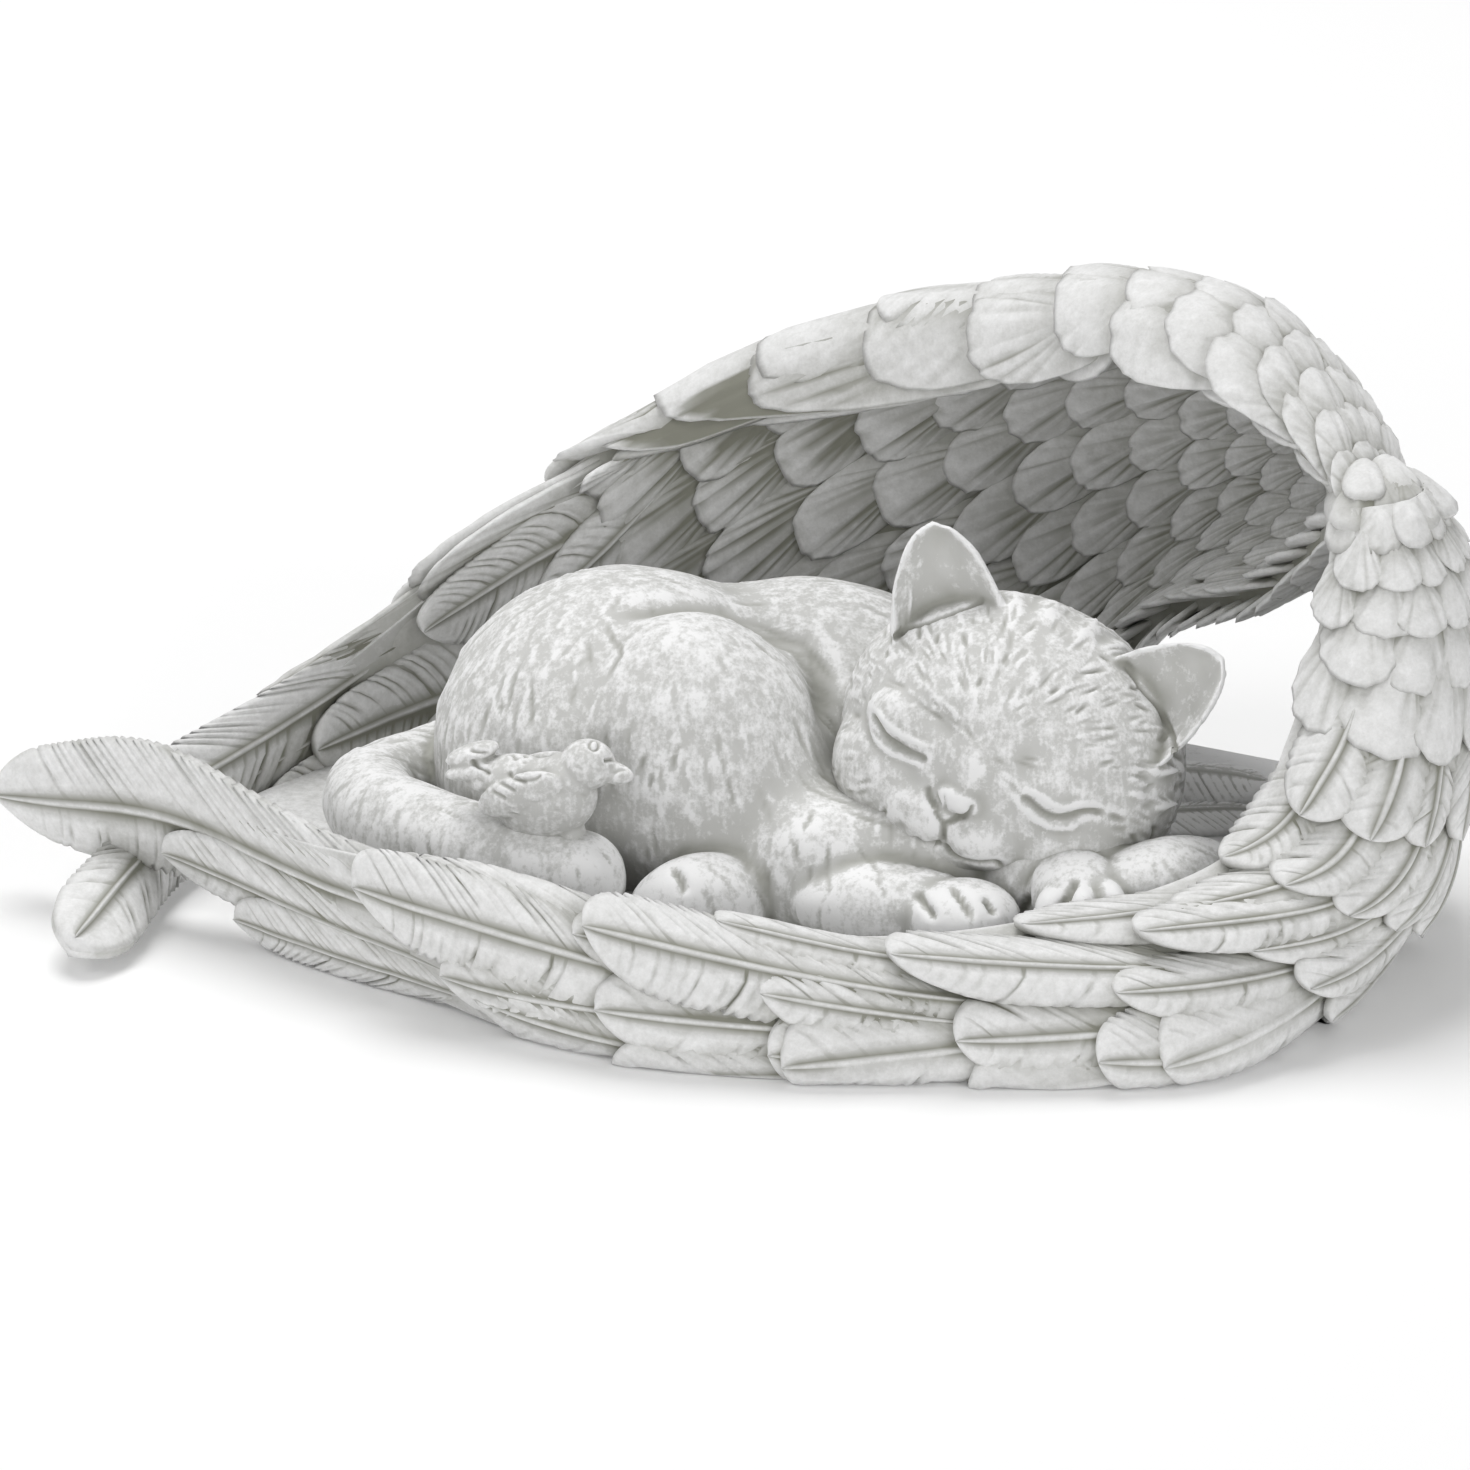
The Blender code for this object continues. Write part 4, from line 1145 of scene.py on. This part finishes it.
# %% [markdown]
# The sleeping face is a handful of such lines. A closed lid is one deep groove with a soft ridge above and below
# it. The nose and mouth are grooves, and the eye sockets are shallow hollows. The lines come from looking at the
# photograph. Each group of lines has its own half width, height and share of the ends that fades out.

# %% The face
LID_GROOVES = [
    [(24.4, 4.4), (26.0, 1.8), (27.6, -0.5), (30.5, -2.5), (32.9, -3.7), (35.3, -4.7)],
    [(51.6, -11.2), (53.4, -12.0), (55.4, -13.8), (57.7, -14.9), (60.5, -14.9), (62.9, -14.2), (65.2, -14.0),
     (67.8, -14.4)],
]
LOWER_LIDS = [
    [(24.4, 3.2), (25.5, -0.4), (28.2, -3.2), (31.8, -4.6), (34.9, -6.0)],
    [(52.6, -12.9), (54.4, -15.1), (57.2, -16.6), (60.5, -16.8), (63.4, -15.7)],
]
UPPER_LIDS = [
    [(25.3, 5.2), (27.3, 2.5), (30.0, 0.1), (33.1, -1.3), (35.8, -2.6)],
    [(52.0, -9.8), (54.8, -10.5), (57.1, -12.3), (60.1, -13.1), (63.2, -12.7), (66.4, -12.9)],
]
NOSE_GROOVES = [
    [(34.9, -9.0), (35.5, -11.4), (36.6, -13.6)],
    [(39.9, -14.4), (41.2, -14.9), (42.7, -14.2), (43.4, -12.4)],
    [(36.2, -13.2), (38.0, -15.9), (41.0, -14.7)],
]
NOSE_SCRATCHES = [[(36.6, -10.4), (37.6, -12.8)], [(37.9, -10.6), (38.4, -13.6)], [(35.9, -11.6), (37.4, -14.0)]]
MOUTH = [
    [(38.0, -15.9), (37.7, -19.5)],
    [(32.5, -18.4), (34.1, -20.0), (36.0, -19.9), (37.7, -19.5)],
    [(37.7, -19.3), (39.2, -21.5), (41.2, -22.6), (44.3, -23.3), (47.5, -23.3), (48.8, -24.4)],
]
FOREHEAD_CUTS = [
    [(33.3, 20.2), (33.5, 16.7)], [(36.9, 18.9), (36.5, 16.2)], [(27.6, 15.6), (27.5, 13.8)],
    [(49.8, 15.3), (48.5, 12.7)], [(44.9, 10.9), (44.0, 8.4)], [(65.8, 14.7), (68.5, 13.1)],
    [(61.5, 11.1), (64.9, 11.6), (68.5, 11.8)], [(64.4, 6.0), (61.5, 3.5)], [(59.3, 8.9), (56.9, 7.3)],
    [(69.5, -4.5), (65.8, -5.5)], [(73.6, 8.2), (71.8, 9.3)], [(75.8, 4.2), (72.4, 6.0)],
    [(76.7, -8.9), (74.9, -9.3)], [(80.5, -16.2), (79.1, -17.1)], [(18.7, 6.7), (19.6, 4.2)],
    [(20.5, 12.2), (20.2, 10.4)],
]
EAR_FOLDS = [
    [(27.5, 16.9), (32.0, 19.6), (36.4, 21.1), (42.7, 23.5), (45.6, 24.5)],
    [(70.5, 13.8), (73.8, 8.9), (76.9, 4.9), (79.3, 0.5), (80.2, -3.3), (83.1, -5.3)],
]
BROW = [[(35.1, 10.9), (36.4, 6.9), (38.4, 4.5), (40.7, 2.5)]]
FACE_CUTS = [
    (UPPER_LIDS, 0.62, 0.50, 0.2), (LOWER_LIDS, 0.50, 0.50, 0.2), (LID_GROOVES, 0.62, -1.05, 0.12),
    (NOSE_GROOVES, 0.48, -0.85, 0.15), (NOSE_SCRATCHES, 0.28, -0.35, 0.2), (MOUTH, 0.50, -0.95, 0.12),
    (EAR_FOLDS, 0.55, -0.8, 0.1), (FOREHEAD_CUTS, 0.38, -0.50, 0.4), (BROW, 1.3, 0.45, 0.2),
]
FACE_HOLLOWS = [
    ((38.0, 2.4), 3.6, -1.2), ((53.4, -4.6), 3.6, -1.2), ((30.0, -16.6), 1.4, -0.5),
    ((27.0, -9.0), 5.0, 0.5), ((56.0, -21.0), 5.0, 0.5),
]
CROWN_LOCKS = [(-10, 2.4, 1.0), (-3.2, 2.8, 1.3), (4.6, 2.4, 1.1), (10.5, 1.8, 0.8)]

carved = Skin(head)
carved.hand_made(14, 0.10, 61)
carved.all_lines(FACE_CUTS)
for hollow in FACE_HOLLOWS:
    carved.dent(*hollow)
for across, half_width, height in CROWN_LOCKS:
    ridge = carved.wrapped(HEAD, [(across * 0.7, -8, 23), (across, -2, 27), (across * 1.2, 6, 27)])
    carved.cut(ridge, half_width, height, 0.35)
print(sum(len(lines) for lines, *_ in FACE_CUTS), "lines and", len(FACE_HOLLOWS), "hollows on the face")

# %% [markdown]
# The fur is drawn with short strokes of a pointed tool: sparse on the forehead, where they run back from the
# eyes, and upright on the haunch. Most are scratches, and one in three is the ridge that the tool pushes up.

# %% Strokes of fur
def fur(skin, count, seed, flow, keep=lambda point: True, length=(3.5, 8), half_width=(0.28, 0.5), depth=0.30,
        tries=3):
    """Strokes at random places of the skin, each along the flow at its place."""
    chance = np.random.default_rng(seed)
    laid = 0
    for index in chance.integers(0, len(skin.points), count * tries):
        point, size = skin.points[index], chance.uniform(size=4)
        if laid == count or not keep(point):
            continue
        way = flow(point)
        way = way / np.linalg.norm(way) + chance.normal(size=3) * 0.13
        height = depth * (0.5 + size[2]) * (0.8 if size[3] > 0.67 else -1)
        skin.flick(point, way / np.linalg.norm(way), length[0] + (length[1] - length[0]) * size[0],
                   half_width[0] + (half_width[1] - half_width[0]) * size[1], height)
        laid += 1
    print(laid, "strokes")


# %% [markdown]
# On the head the strokes run away from the brow. The eyes, the nose, the mouth and the ears are kept smooth, and
# the right cheek gets a few coarser strokes over its locks.

# %% The head's fur
FACE_KEPT_SMOOTH = [(30, -1, 8), (59, -13, 10), (38, -13, 9), (41, -20, 10)]
EAR_REACH, CHEEK_REACH = 12.5 * MM, 12 * MM
smooth_spots = [(np.array(carved.seen(right, up)), radius * MM) for right, up, radius in FACE_KEPT_SMOOTH]
smooth_spots += [(to_statue(HEAD @ Vector((side * 24, -2, 28))), EAR_REACH) for side in (-1, 1)]
brow_spot = np.array(carved.seen(45.0, -3.0))
cheek = to_statue(HEAD @ Vector((27, -9, 2)))


def from_brow(point):
    return point - brow_spot


def is_furry(point):
    return all(np.linalg.norm(point - spot) > radius for spot, radius in smooth_spots)


def is_cheek(point):
    return np.linalg.norm(point - cheek) < CHEEK_REACH


fur(carved, 1100, 71, from_brow, is_furry, (3, 8), (0.26, 0.42), 0.22)
fur(carved, 30, 74, from_brow, is_cheek, (3, 6), (0.5, 0.8), 0.6, 60)
head = carved.finished()

# %% [markdown]
# The body gets the fold where the thigh meets the flank, the gaps between the toes, and fur that runs down the
# flanks. All of it is drawn as seen from the front, as the face was.

# %% The body
THIGH_CREASE = [(-24.5, 20.5), (-13.6, 23.5), (0.9, 22.7), (11.8, 17.3), (15.8, 10.0), (15.5, 2.7), (11.8, -10.0),
                (4.9, -22.7)]
TOE_GROOVES = [
    [(32.9, -28.2), (34.5, -30.9), (36.9, -34.0)], [(38.9, -26.7), (41.3, -30.0), (43.6, -34.0)],
    [(45.1, -29.1), (46.4, -30.9), (47.6, -33.1)], [(62.2, -25.6), (60.9, -28.9), (58.7, -33.1)],
    [(54.0, -29.1), (52.7, -31.1), (51.5, -33.5)], [(-11.8, -23.6), (-9.9, -26.2), (-9.2, -29.5)],
]
BODY_CUTS = [
    [(-15.8, -2.4), (-18.0, -8.2)], [(-14.7, -6.4), (-15.8, -10.2)], [(-9.8, -0.4), (-12.2, -8.2)],
    [(13.8, -23.3), (13.3, -27.3)], [(14.5, -13.1), (12.2, -18.0)], [(-42.5, 6.4), (-42.7, 3.8)],
]
BODY_FLOW = np.array((0.14, 0.0, -1.0))

carved = Skin(body)
carved.hand_made(22, 0.18, 62)
carved.all_lines([([THIGH_CREASE], 3.2, -1.9, 0.25), (TOE_GROOVES, 0.72, -1.5, 0.3), (BODY_CUTS, 0.40, -0.5, 0.4)])
fur(carved, 1300, 72, lambda point: BODY_FLOW, depth=0.22, length=(5, 13), half_width=(0.34, 0.6))
body = carved.finished()

# %% [markdown]
# The bird is as long as a thumb, so it carries few lines: a ring for the eye, the beak's mouth line, and the edges
# of the long feathers in its wing and tail.

# %% The bird
BIRD_EYE, BIRD_EYE_RADIUS = (-25.6, -1.8), 0.9
BIRD_MOUTH = [[(-23.8, -4.7), (-22.2, -4.4), (-20.0, -4.4)]]
BIRD_CHIN = [[(-22.4, -7.1), (-20.9, -6.4), (-19.6, -6.2)]]
BIRD_WING = [
    [(-44.5, -10.0), (-41.4, -11.8)], [(-43.3, -8.3), (-39.6, -10.5)], [(-41.6, -6.8), (-37.6, -9.0)],
    [(-41.0, -2.6), (-39.6, -4.6)], [(-39.2, -2.2), (-37.8, -4.2)],
]
BIRD_TAIL = [[(-48.4, -2.5), (-46.9, -2.9), (-44.5, -3.6)], [(-48.2, -4.5), (-46.4, -5.8), (-44.2, -7.3)]]
WING_EDGE = [[(-41.8, -7.5), (-39.1, -8.2), (-36.4, -8.0), (-34.9, -6.7)]]
BIRD_FLOW = np.array((-0.9, 0.2, 0.25))

carved = Skin(bird)
around_eye = np.linspace(0, 2 * math.pi, 10)
eye_ring = [(BIRD_EYE[0] + BIRD_EYE_RADIUS * math.cos(a), BIRD_EYE[1] + BIRD_EYE_RADIUS * math.sin(a))
            for a in around_eye]
carved.lines([eye_ring], 0.32, -0.5, 0)
carved.dent(BIRD_EYE, 0.45, 0.35)
carved.all_lines([
    (BIRD_MOUTH, 0.36, -0.75, 0.1), (BIRD_CHIN, 0.36, -0.35, 0.2), (BIRD_WING, 0.36, -0.5, 0.2),
    (BIRD_TAIL, 0.42, -0.8, 0.2), (WING_EDGE, 0.4, -0.5, 0.2),
])
fur(carved, 130, 73, lambda point: BIRD_FLOW, length=(1.2, 2.6), half_width=(0.22, 0.32), depth=0.14)
bird = carved.finished()

# %% [markdown]
# ## Ageing the stone and painting its shade
#
# Cast resin is sold with a greenish grey wash that stays in the recesses and a dry brush of white over the high
# edges. Both follow the shape, so the shape is measured first. `raised` says how far a point stands above the
# smoothed surface around it, and `open` says how much sky it sees. Where it sees little, the colour is also
# darkened as painted shade.

# %% How far each point is raised
def averaged(values, edges, count, times):
    """Replaces each point's value by the mean of its neighbours', several times."""
    ends = np.concatenate([edges[:, 0], edges[:, 1]])
    others = np.concatenate([edges[:, 1], edges[:, 0]])
    share = np.maximum(np.bincount(ends, minlength=count), 1)
    for _ in range(times):
        if values.ndim == 1:
            values = np.bincount(ends, values[others], count) / share
        else:
            values = np.stack([np.bincount(ends, v[others], count) / share for v in values.T], 1)
    return values


def measure_relief(mesh, times, full=0.25 * MM):
    """Stores `raised`: +1 on an edge that stands this far proud, -1 in a groove as deep."""
    points, edges = points_of(mesh), edges_of(mesh)
    smooth = averaged(points, edges, len(points), times)
    proud = np.einsum("ij,ij->i", points - smooth, normals_of(mesh)) / full
    put(mesh, "raised", "FLOAT", np.clip(proud, -1, 1))


# %% [markdown]
# The sky is measured by a second tree. It sends rays from each point in directions that the golden ratio spreads
# evenly over a sphere. Each ray counts by how squarely the surface faces it, so those that point inwards count
# nothing.

# %% How much sky each point sees
def sky_directions(count):
    """Evenly spread directions over the whole sphere."""
    k = np.arange(count) + 0.5
    height = 1 - 2 * k / count
    turn = math.pi * (1 + 5**0.5) * k
    flat = np.sqrt(1 - height**2)
    return np.stack([flat * np.cos(turn), flat * np.sin(turn), height], 1)


def sky_tree(directions, reach=14 * MM):
    """Casts one ray for each direction from every point and stores the share that meets nothing."""
    t = Tree("measure_sky", "GeometryNodeTree")
    t.input("Geometry", "NodeSocketGeometry")
    t.input("Statue", "NodeSocketObject")
    t.input("Reach", "NodeSocketFloat", reach)
    t.output("Geometry", "NodeSocketGeometry")
    given = t.node("NodeGroupInput").outputs
    around = t.node("GeometryNodeObjectInfo", {"Object": given["Statue"]}).outputs["Geometry"]
    normal = t.node("GeometryNodeInputNormal").outputs[0]
    place = t.node("GeometryNodeInputPosition").outputs[0]
    start = t.vector("ADD", place, t.vector("SCALE", normal, 0.15 * MM))
    seen, total = None, None
    for direction in directions:
        facing = t.node("ShaderNodeVectorMath", {0: normal, 1: tuple(direction)}, operation="DOT_PRODUCT")
        weight = t.math("MAXIMUM", facing.outputs["Value"], 0.0)
        ray = t.node("GeometryNodeRaycast", {"Target Geometry": around, "Source Position": start,
                                             "Ray Direction": tuple(direction), "Ray Length": given["Reach"]})
        free = t.math("SUBTRACT", 1.0, ray.outputs["Is Hit"])
        near = t.math("DIVIDE", ray.outputs["Hit Distance"], given["Reach"])
        clear = t.math("MAXIMUM", free, t.math("MULTIPLY", near, t.math("SUBTRACT", 1.0, free)))
        part = t.math("MULTIPLY", weight, clear)
        seen = part if seen is None else t.math("ADD", seen, part)
        total = weight if total is None else t.math("ADD", total, weight)
    share = t.math("DIVIDE", seen, t.math("MAXIMUM", total, 0.001))
    t.join(t.kept(given["Geometry"], "open", share), t.node("NodeGroupOutput").inputs[0])
    return t.tree


# %% [markdown]
# ## The shader
#
# One node group ages the stone and paints its shade: it mixes the wash, a painted shade where a point sees little
# sky, the bare stone and the dry brush, and adds the fine pitting of a cast surface. Every material places this
# group with its own values.

# %% The ageing and painted shade group
# The grey is the colour of the real wash and of the painted shade alike.
BARE_STONE, GREY_WASH_AND_SHADE, WHITE_BRUSH = (0.57, 0.57, 0.555, 1), (0.24, 0.24, 0.20, 1), (0.84, 0.84, 0.84, 1)


def ageing_and_shading_group():
    t = Tree("aged_stone", "ShaderNodeTree")
    t.input("Wash", "NodeSocketFloat", 1.0)
    t.input("Brush", "NodeSocketFloat", 1.0)
    t.input("Stroke", "NodeSocketFloat", 0.0)
    t.output("Color", "NodeSocketColor")
    t.output("Roughness", "NodeSocketFloat")
    t.output("Height", "NodeSocketFloat")
    given = t.node("NodeGroupInput").outputs
    place = t.node("ShaderNodeTexCoord").outputs["Object"]
    raised = t.node("ShaderNodeAttribute", attribute_name="raised").outputs["Fac"]
    sky = t.node("ShaderNodeAttribute", attribute_name="open").outputs["Fac"]
    cloud = t.noise(place, 90.0, 4.0, 0.6)
    patch = t.noise(place, 420.0, 5.0, 0.68)
    grain = t.noise(place, 1500.0, 3.0, 0.6)
    groove = t.math("MULTIPLY", t.math("MULTIPLY", raised, -1.0, clamp=True), 0.85)
    # Where a point sees little sky, shade darkens its colour: painted shade, added to the real wash in the grooves.
    shade = t.math("MULTIPLY", t.math("SUBTRACT", 1.0, sky), 0.95)
    uneven = t.math("MULTIPLY_ADD", cloud, 0.7, -0.40)
    wash_and_shade = t.math("ADD", t.math("ADD", groove, shade), uneven)
    wash_and_shade = t.math("MULTIPLY", wash_and_shade, given["Wash"], clamp=True)
    edge = t.math("MULTIPLY_ADD", raised, 0.75, t.math("MULTIPLY_ADD", patch, 1.7, -0.80))
    edge = t.math("ADD", edge, t.math("MULTIPLY_ADD", grain, 0.7, -0.35))
    thin = t.node("ShaderNodeMapping", {"Vector": place, "Scale": (900.0, 900.0, 110.0)}).outputs[0]
    streaks = t.math("MULTIPLY", t.math("SUBTRACT", t.noise(thin, 1.0, 2.0), 0.5), given["Stroke"])
    edge = t.math("ADD", edge, streaks)
    # The dry brush also thins where a point sees little sky, so hidden places stay darker: more painted shade.
    edge = t.math("MULTIPLY", edge, t.math("MULTIPLY_ADD", sky, 1.3, -0.25, clamp=True))
    brush = t.math("MULTIPLY", edge, given["Brush"], clamp=True)

    def mixed(factor, first, second):
        node = t.node("ShaderNodeMix", {"Factor": factor}, data_type="RGBA")
        t.join(first, t.live(node.inputs, "A"))
        t.join(second, t.live(node.inputs, "B"))
        return t.live(node.outputs, "Result")

    aged_and_shaded = mixed(brush, mixed(wash_and_shade, BARE_STONE, GREY_WASH_AND_SHADE), WHITE_BRUSH)
    rough = t.math("MULTIPLY_ADD", patch, 0.25, 0.62)
    height = t.math("MULTIPLY_ADD", grain, 0.35, t.math("MULTIPLY_ADD", patch, 0.65, streaks))
    out = t.node("NodeGroupOutput")
    for name, value in (("Color", aged_and_shaded), ("Roughness", rough), ("Height", height)):
        t.join(value, out.inputs[name])
    return t.tree


aged_stone = ageing_and_shading_group()
print("ageing group has", len(aged_stone.nodes), "nodes")


# %% [markdown]
# The feathers are evenly washed. The cat's fur gets more of the dry brush, in upright streaks, and less of the
# wash. Both amounts are also painted light and shade: they make the fur lighter and the feathers darker than
# the lamps alone do.

# %% Two ages of the same stone, painted lighter and darker
def stone_material(name, wash_and_shade=1.0, brush=1.0, stroke=0.0, bump=0.35):
    """Cast stone resin with its own amount of wash with painted shade, and of dry brush."""
    material = bpy.data.materials.new(name)
    material.use_nodes = True
    nodes, links = material.node_tree.nodes, material.node_tree.links
    shader = nodes["Principled BSDF"]
    ageing_and_shading = nodes.new("ShaderNodeGroup")
    ageing_and_shading.node_tree = aged_stone
    ageing_and_shading.location = (-500, 200)
    for socket, value in (("Wash", wash_and_shade), ("Brush", brush), ("Stroke", stroke)):
        ageing_and_shading.inputs[socket].default_value = value
    relief = nodes.new("ShaderNodeBump")
    relief.location = (-250, -150)
    relief.inputs["Strength"].default_value = bump
    relief.inputs["Distance"].default_value = 0.25 * MM
    links.new(ageing_and_shading.outputs["Color"], shader.inputs["Base Color"])
    links.new(ageing_and_shading.outputs["Roughness"], shader.inputs["Roughness"])
    links.new(ageing_and_shading.outputs["Height"], relief.inputs["Height"])
    links.new(relief.outputs["Normal"], shader.inputs["Normal"])
    shader.inputs["Specular IOR Level"].default_value = 0.28
    return material


# The feathers' material is painted darker and the fur's lighter, standing in for how the light falls on them.
feather_stone = stone_material("weathered_feathers", 1.1, 0.8)
fur_stone = stone_material("weathered_fur", 0.6, 2.1, 0.7)
print("materials", feather_stone.name, fur_stone.name)

# %% [markdown]
# ## Finishing the pieces
#
# The casting is one body, but it is kept as a few pieces so that each stays light. All of them stand for the one
# CAD node and ride on its body.

# %% Pieces
def joined(name, meshes):
    bm = bmesh.new()
    for mesh in meshes:
        bm.from_mesh(mesh)
    made = bpy.data.meshes.new(name)
    bm.to_mesh(made)
    bm.free()
    return made


parts = {
    "back_wing_inner": ([*back_inner], feather_stone, 4),
    "back_wing_outer": ([*back_outer], feather_stone, 4),
    "front_wing_outer": ([*front_outer], feather_stone, 4),
    "front_wing_inner": ([*front_inner], feather_stone, 4),
    "wing_cores_and_tips": ([back_core, front_core, wrist, *wrist_pads, *tips], feather_stone, 4),
    "nest_bed": ([bed, *sill], fur_stone, 2),
    "cat_body": ([body], fur_stone, 6),
    "cat_head": ([head], fur_stone, 10),
    "bird": ([bird], fur_stone, 6),
}
pieces = {}
for name, (meshes, material, times) in parts.items():
    mesh = joined(name, meshes)
    points = points_of(mesh)
    points[:, 2] = np.maximum(points[:, 2], 0.0)
    move_points(mesh, points)
    mesh.materials.clear()
    mesh.materials.append(material)
    measure_relief(mesh, times)
    mesh.shade_smooth()
    pieces[name] = new_object(name, mesh)
    print(name, triangles(mesh), "triangles")
print("in all", sum(triangles(o.data) for o in pieces.values()))

# %% [markdown]
# Now each point can be asked how much sky it sees past the whole statue. The result is softened over its
# neighbours, because a few rays give a grainy answer. Then each piece is tied to the root body, and the CAD node
# is hidden.

# %% Sky and body
RAYS, QUICK_RAYS = 20, 8
everything = new_object("everything", joined("everything", [o.data for o in pieces.values()]), hidden)
sky = sky_tree(sky_directions(RAYS))
for piece in pieces.values():
    add_tree(piece, "Sky", sky, {"Statue": everything})
bpy.context.view_layer.update()
graph = bpy.context.evaluated_depsgraph_get()
for name, piece in pieces.items():
    mesh = bpy.data.meshes.new_from_object(piece.evaluated_get(graph))
    mesh.name = name
    piece.modifiers.clear()
    piece.data = mesh
    flat = read(mesh.attributes["open"].data, "value", 1)[:, 0]
    soft = averaged(flat.astype(float), edges_of(mesh), len(flat), 2)
    put(mesh, "open", "FLOAT", soft)
    print(name, "sees", round(float(soft.mean()), 2), "of its sky")
for name, piece in pieces.items():
    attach(piece, "root")
    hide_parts(STATUE)
bpy.data.objects.remove(everything, do_unlink=True)

# %% [markdown]
# ## Floor, light and camera
#
# The set is a product photograph's: a white floor, a broad soft light from above and behind, and three weaker ones
# at the left, right and front. The light from behind throws the soft shadow forward. The camera looks along +Y,
# 22 degrees down, from a metre away.

# %% The floor
bpy.ops.mesh.primitive_plane_add(size=6, location=(0, 0, -0.0002))
floor = bpy.context.object
floor.name = "floor"
paper = bpy.data.materials.new("paper")
paper.use_nodes = True
PAPER = {"Base Color": (0.88, 0.88, 0.88, 1), "Roughness": 0.9, "Emission Color": (1, 1, 1, 1),
         "Emission Strength": 0.05}
for socket, value in PAPER.items():
    paper.node_tree.nodes["Principled BSDF"].inputs[socket].default_value = value
floor.data.materials.append(paper)
print("floor", tuple(round(side, 1) for side in floor.dimensions[:2]))

# %% [markdown]
# The world gives an even light from all sides, and the four softboxes add the direction.

# %% The lights
world = bpy.context.scene.world or bpy.data.worlds.new("studio")
bpy.context.scene.world = world
world.use_nodes = True
for socket, value in (("Color", (1, 1, 1, 1)), ("Strength", 0.40)):
    world.node_tree.nodes["Background"].inputs[socket].default_value = value
bpy.context.scene.view_settings.view_transform = "Standard"


def softbox(name, place, target, size, power):
    light = bpy.data.lights.new(name, "AREA")
    light.shape, light.size, light.energy = "DISK", size, power
    lamp = new_object(name, light)
    lamp.location = place
    lamp.rotation_euler = (Vector(target) - Vector(place)).to_track_quat("-Z", "Y").to_euler()
    return lamp


SOFTBOXES = [
    ("top_light", (-0.3, 0.85, 2.2), (0, 0, 0), 1.5, 33),
    ("key_light", (-1.7, -0.8, 1.9), (0, 0, 0.03), 1.0, 12),
    ("fill_light", (1.5, -1.5, 0.7), (0, 0, 0.05), 1.2, 10),
    ("front_light", (-0.6, -2.1, 0.45), (0, 0, 0.05), 1.2, 8),
]
for box in SOFTBOXES:
    softbox(*box)
print(len(SOFTBOXES), "lights")

# %% [markdown]
# The lens follows from the scale in the picture: 5.5 pixels for a millimetre at one metre.

# %% The camera
PIXELS_PER_MM, PICTURE_SIDE = 5.5, 1470
camera = bpy.data.cameras.new("camera")
camera.sensor_width = 36
camera.lens = PIXELS_PER_MM * DISTANCE / MM * camera.sensor_width / PICTURE_SIDE
camera_object = new_object("camera", camera)
camera_object.location = EYE
camera_object.rotation_euler = LINE_OF_SIGHT.to_track_quat("-Z", "Y").to_euler()
bpy.context.scene.camera = camera_object
print("lens", round(camera.lens, 1), "mm")
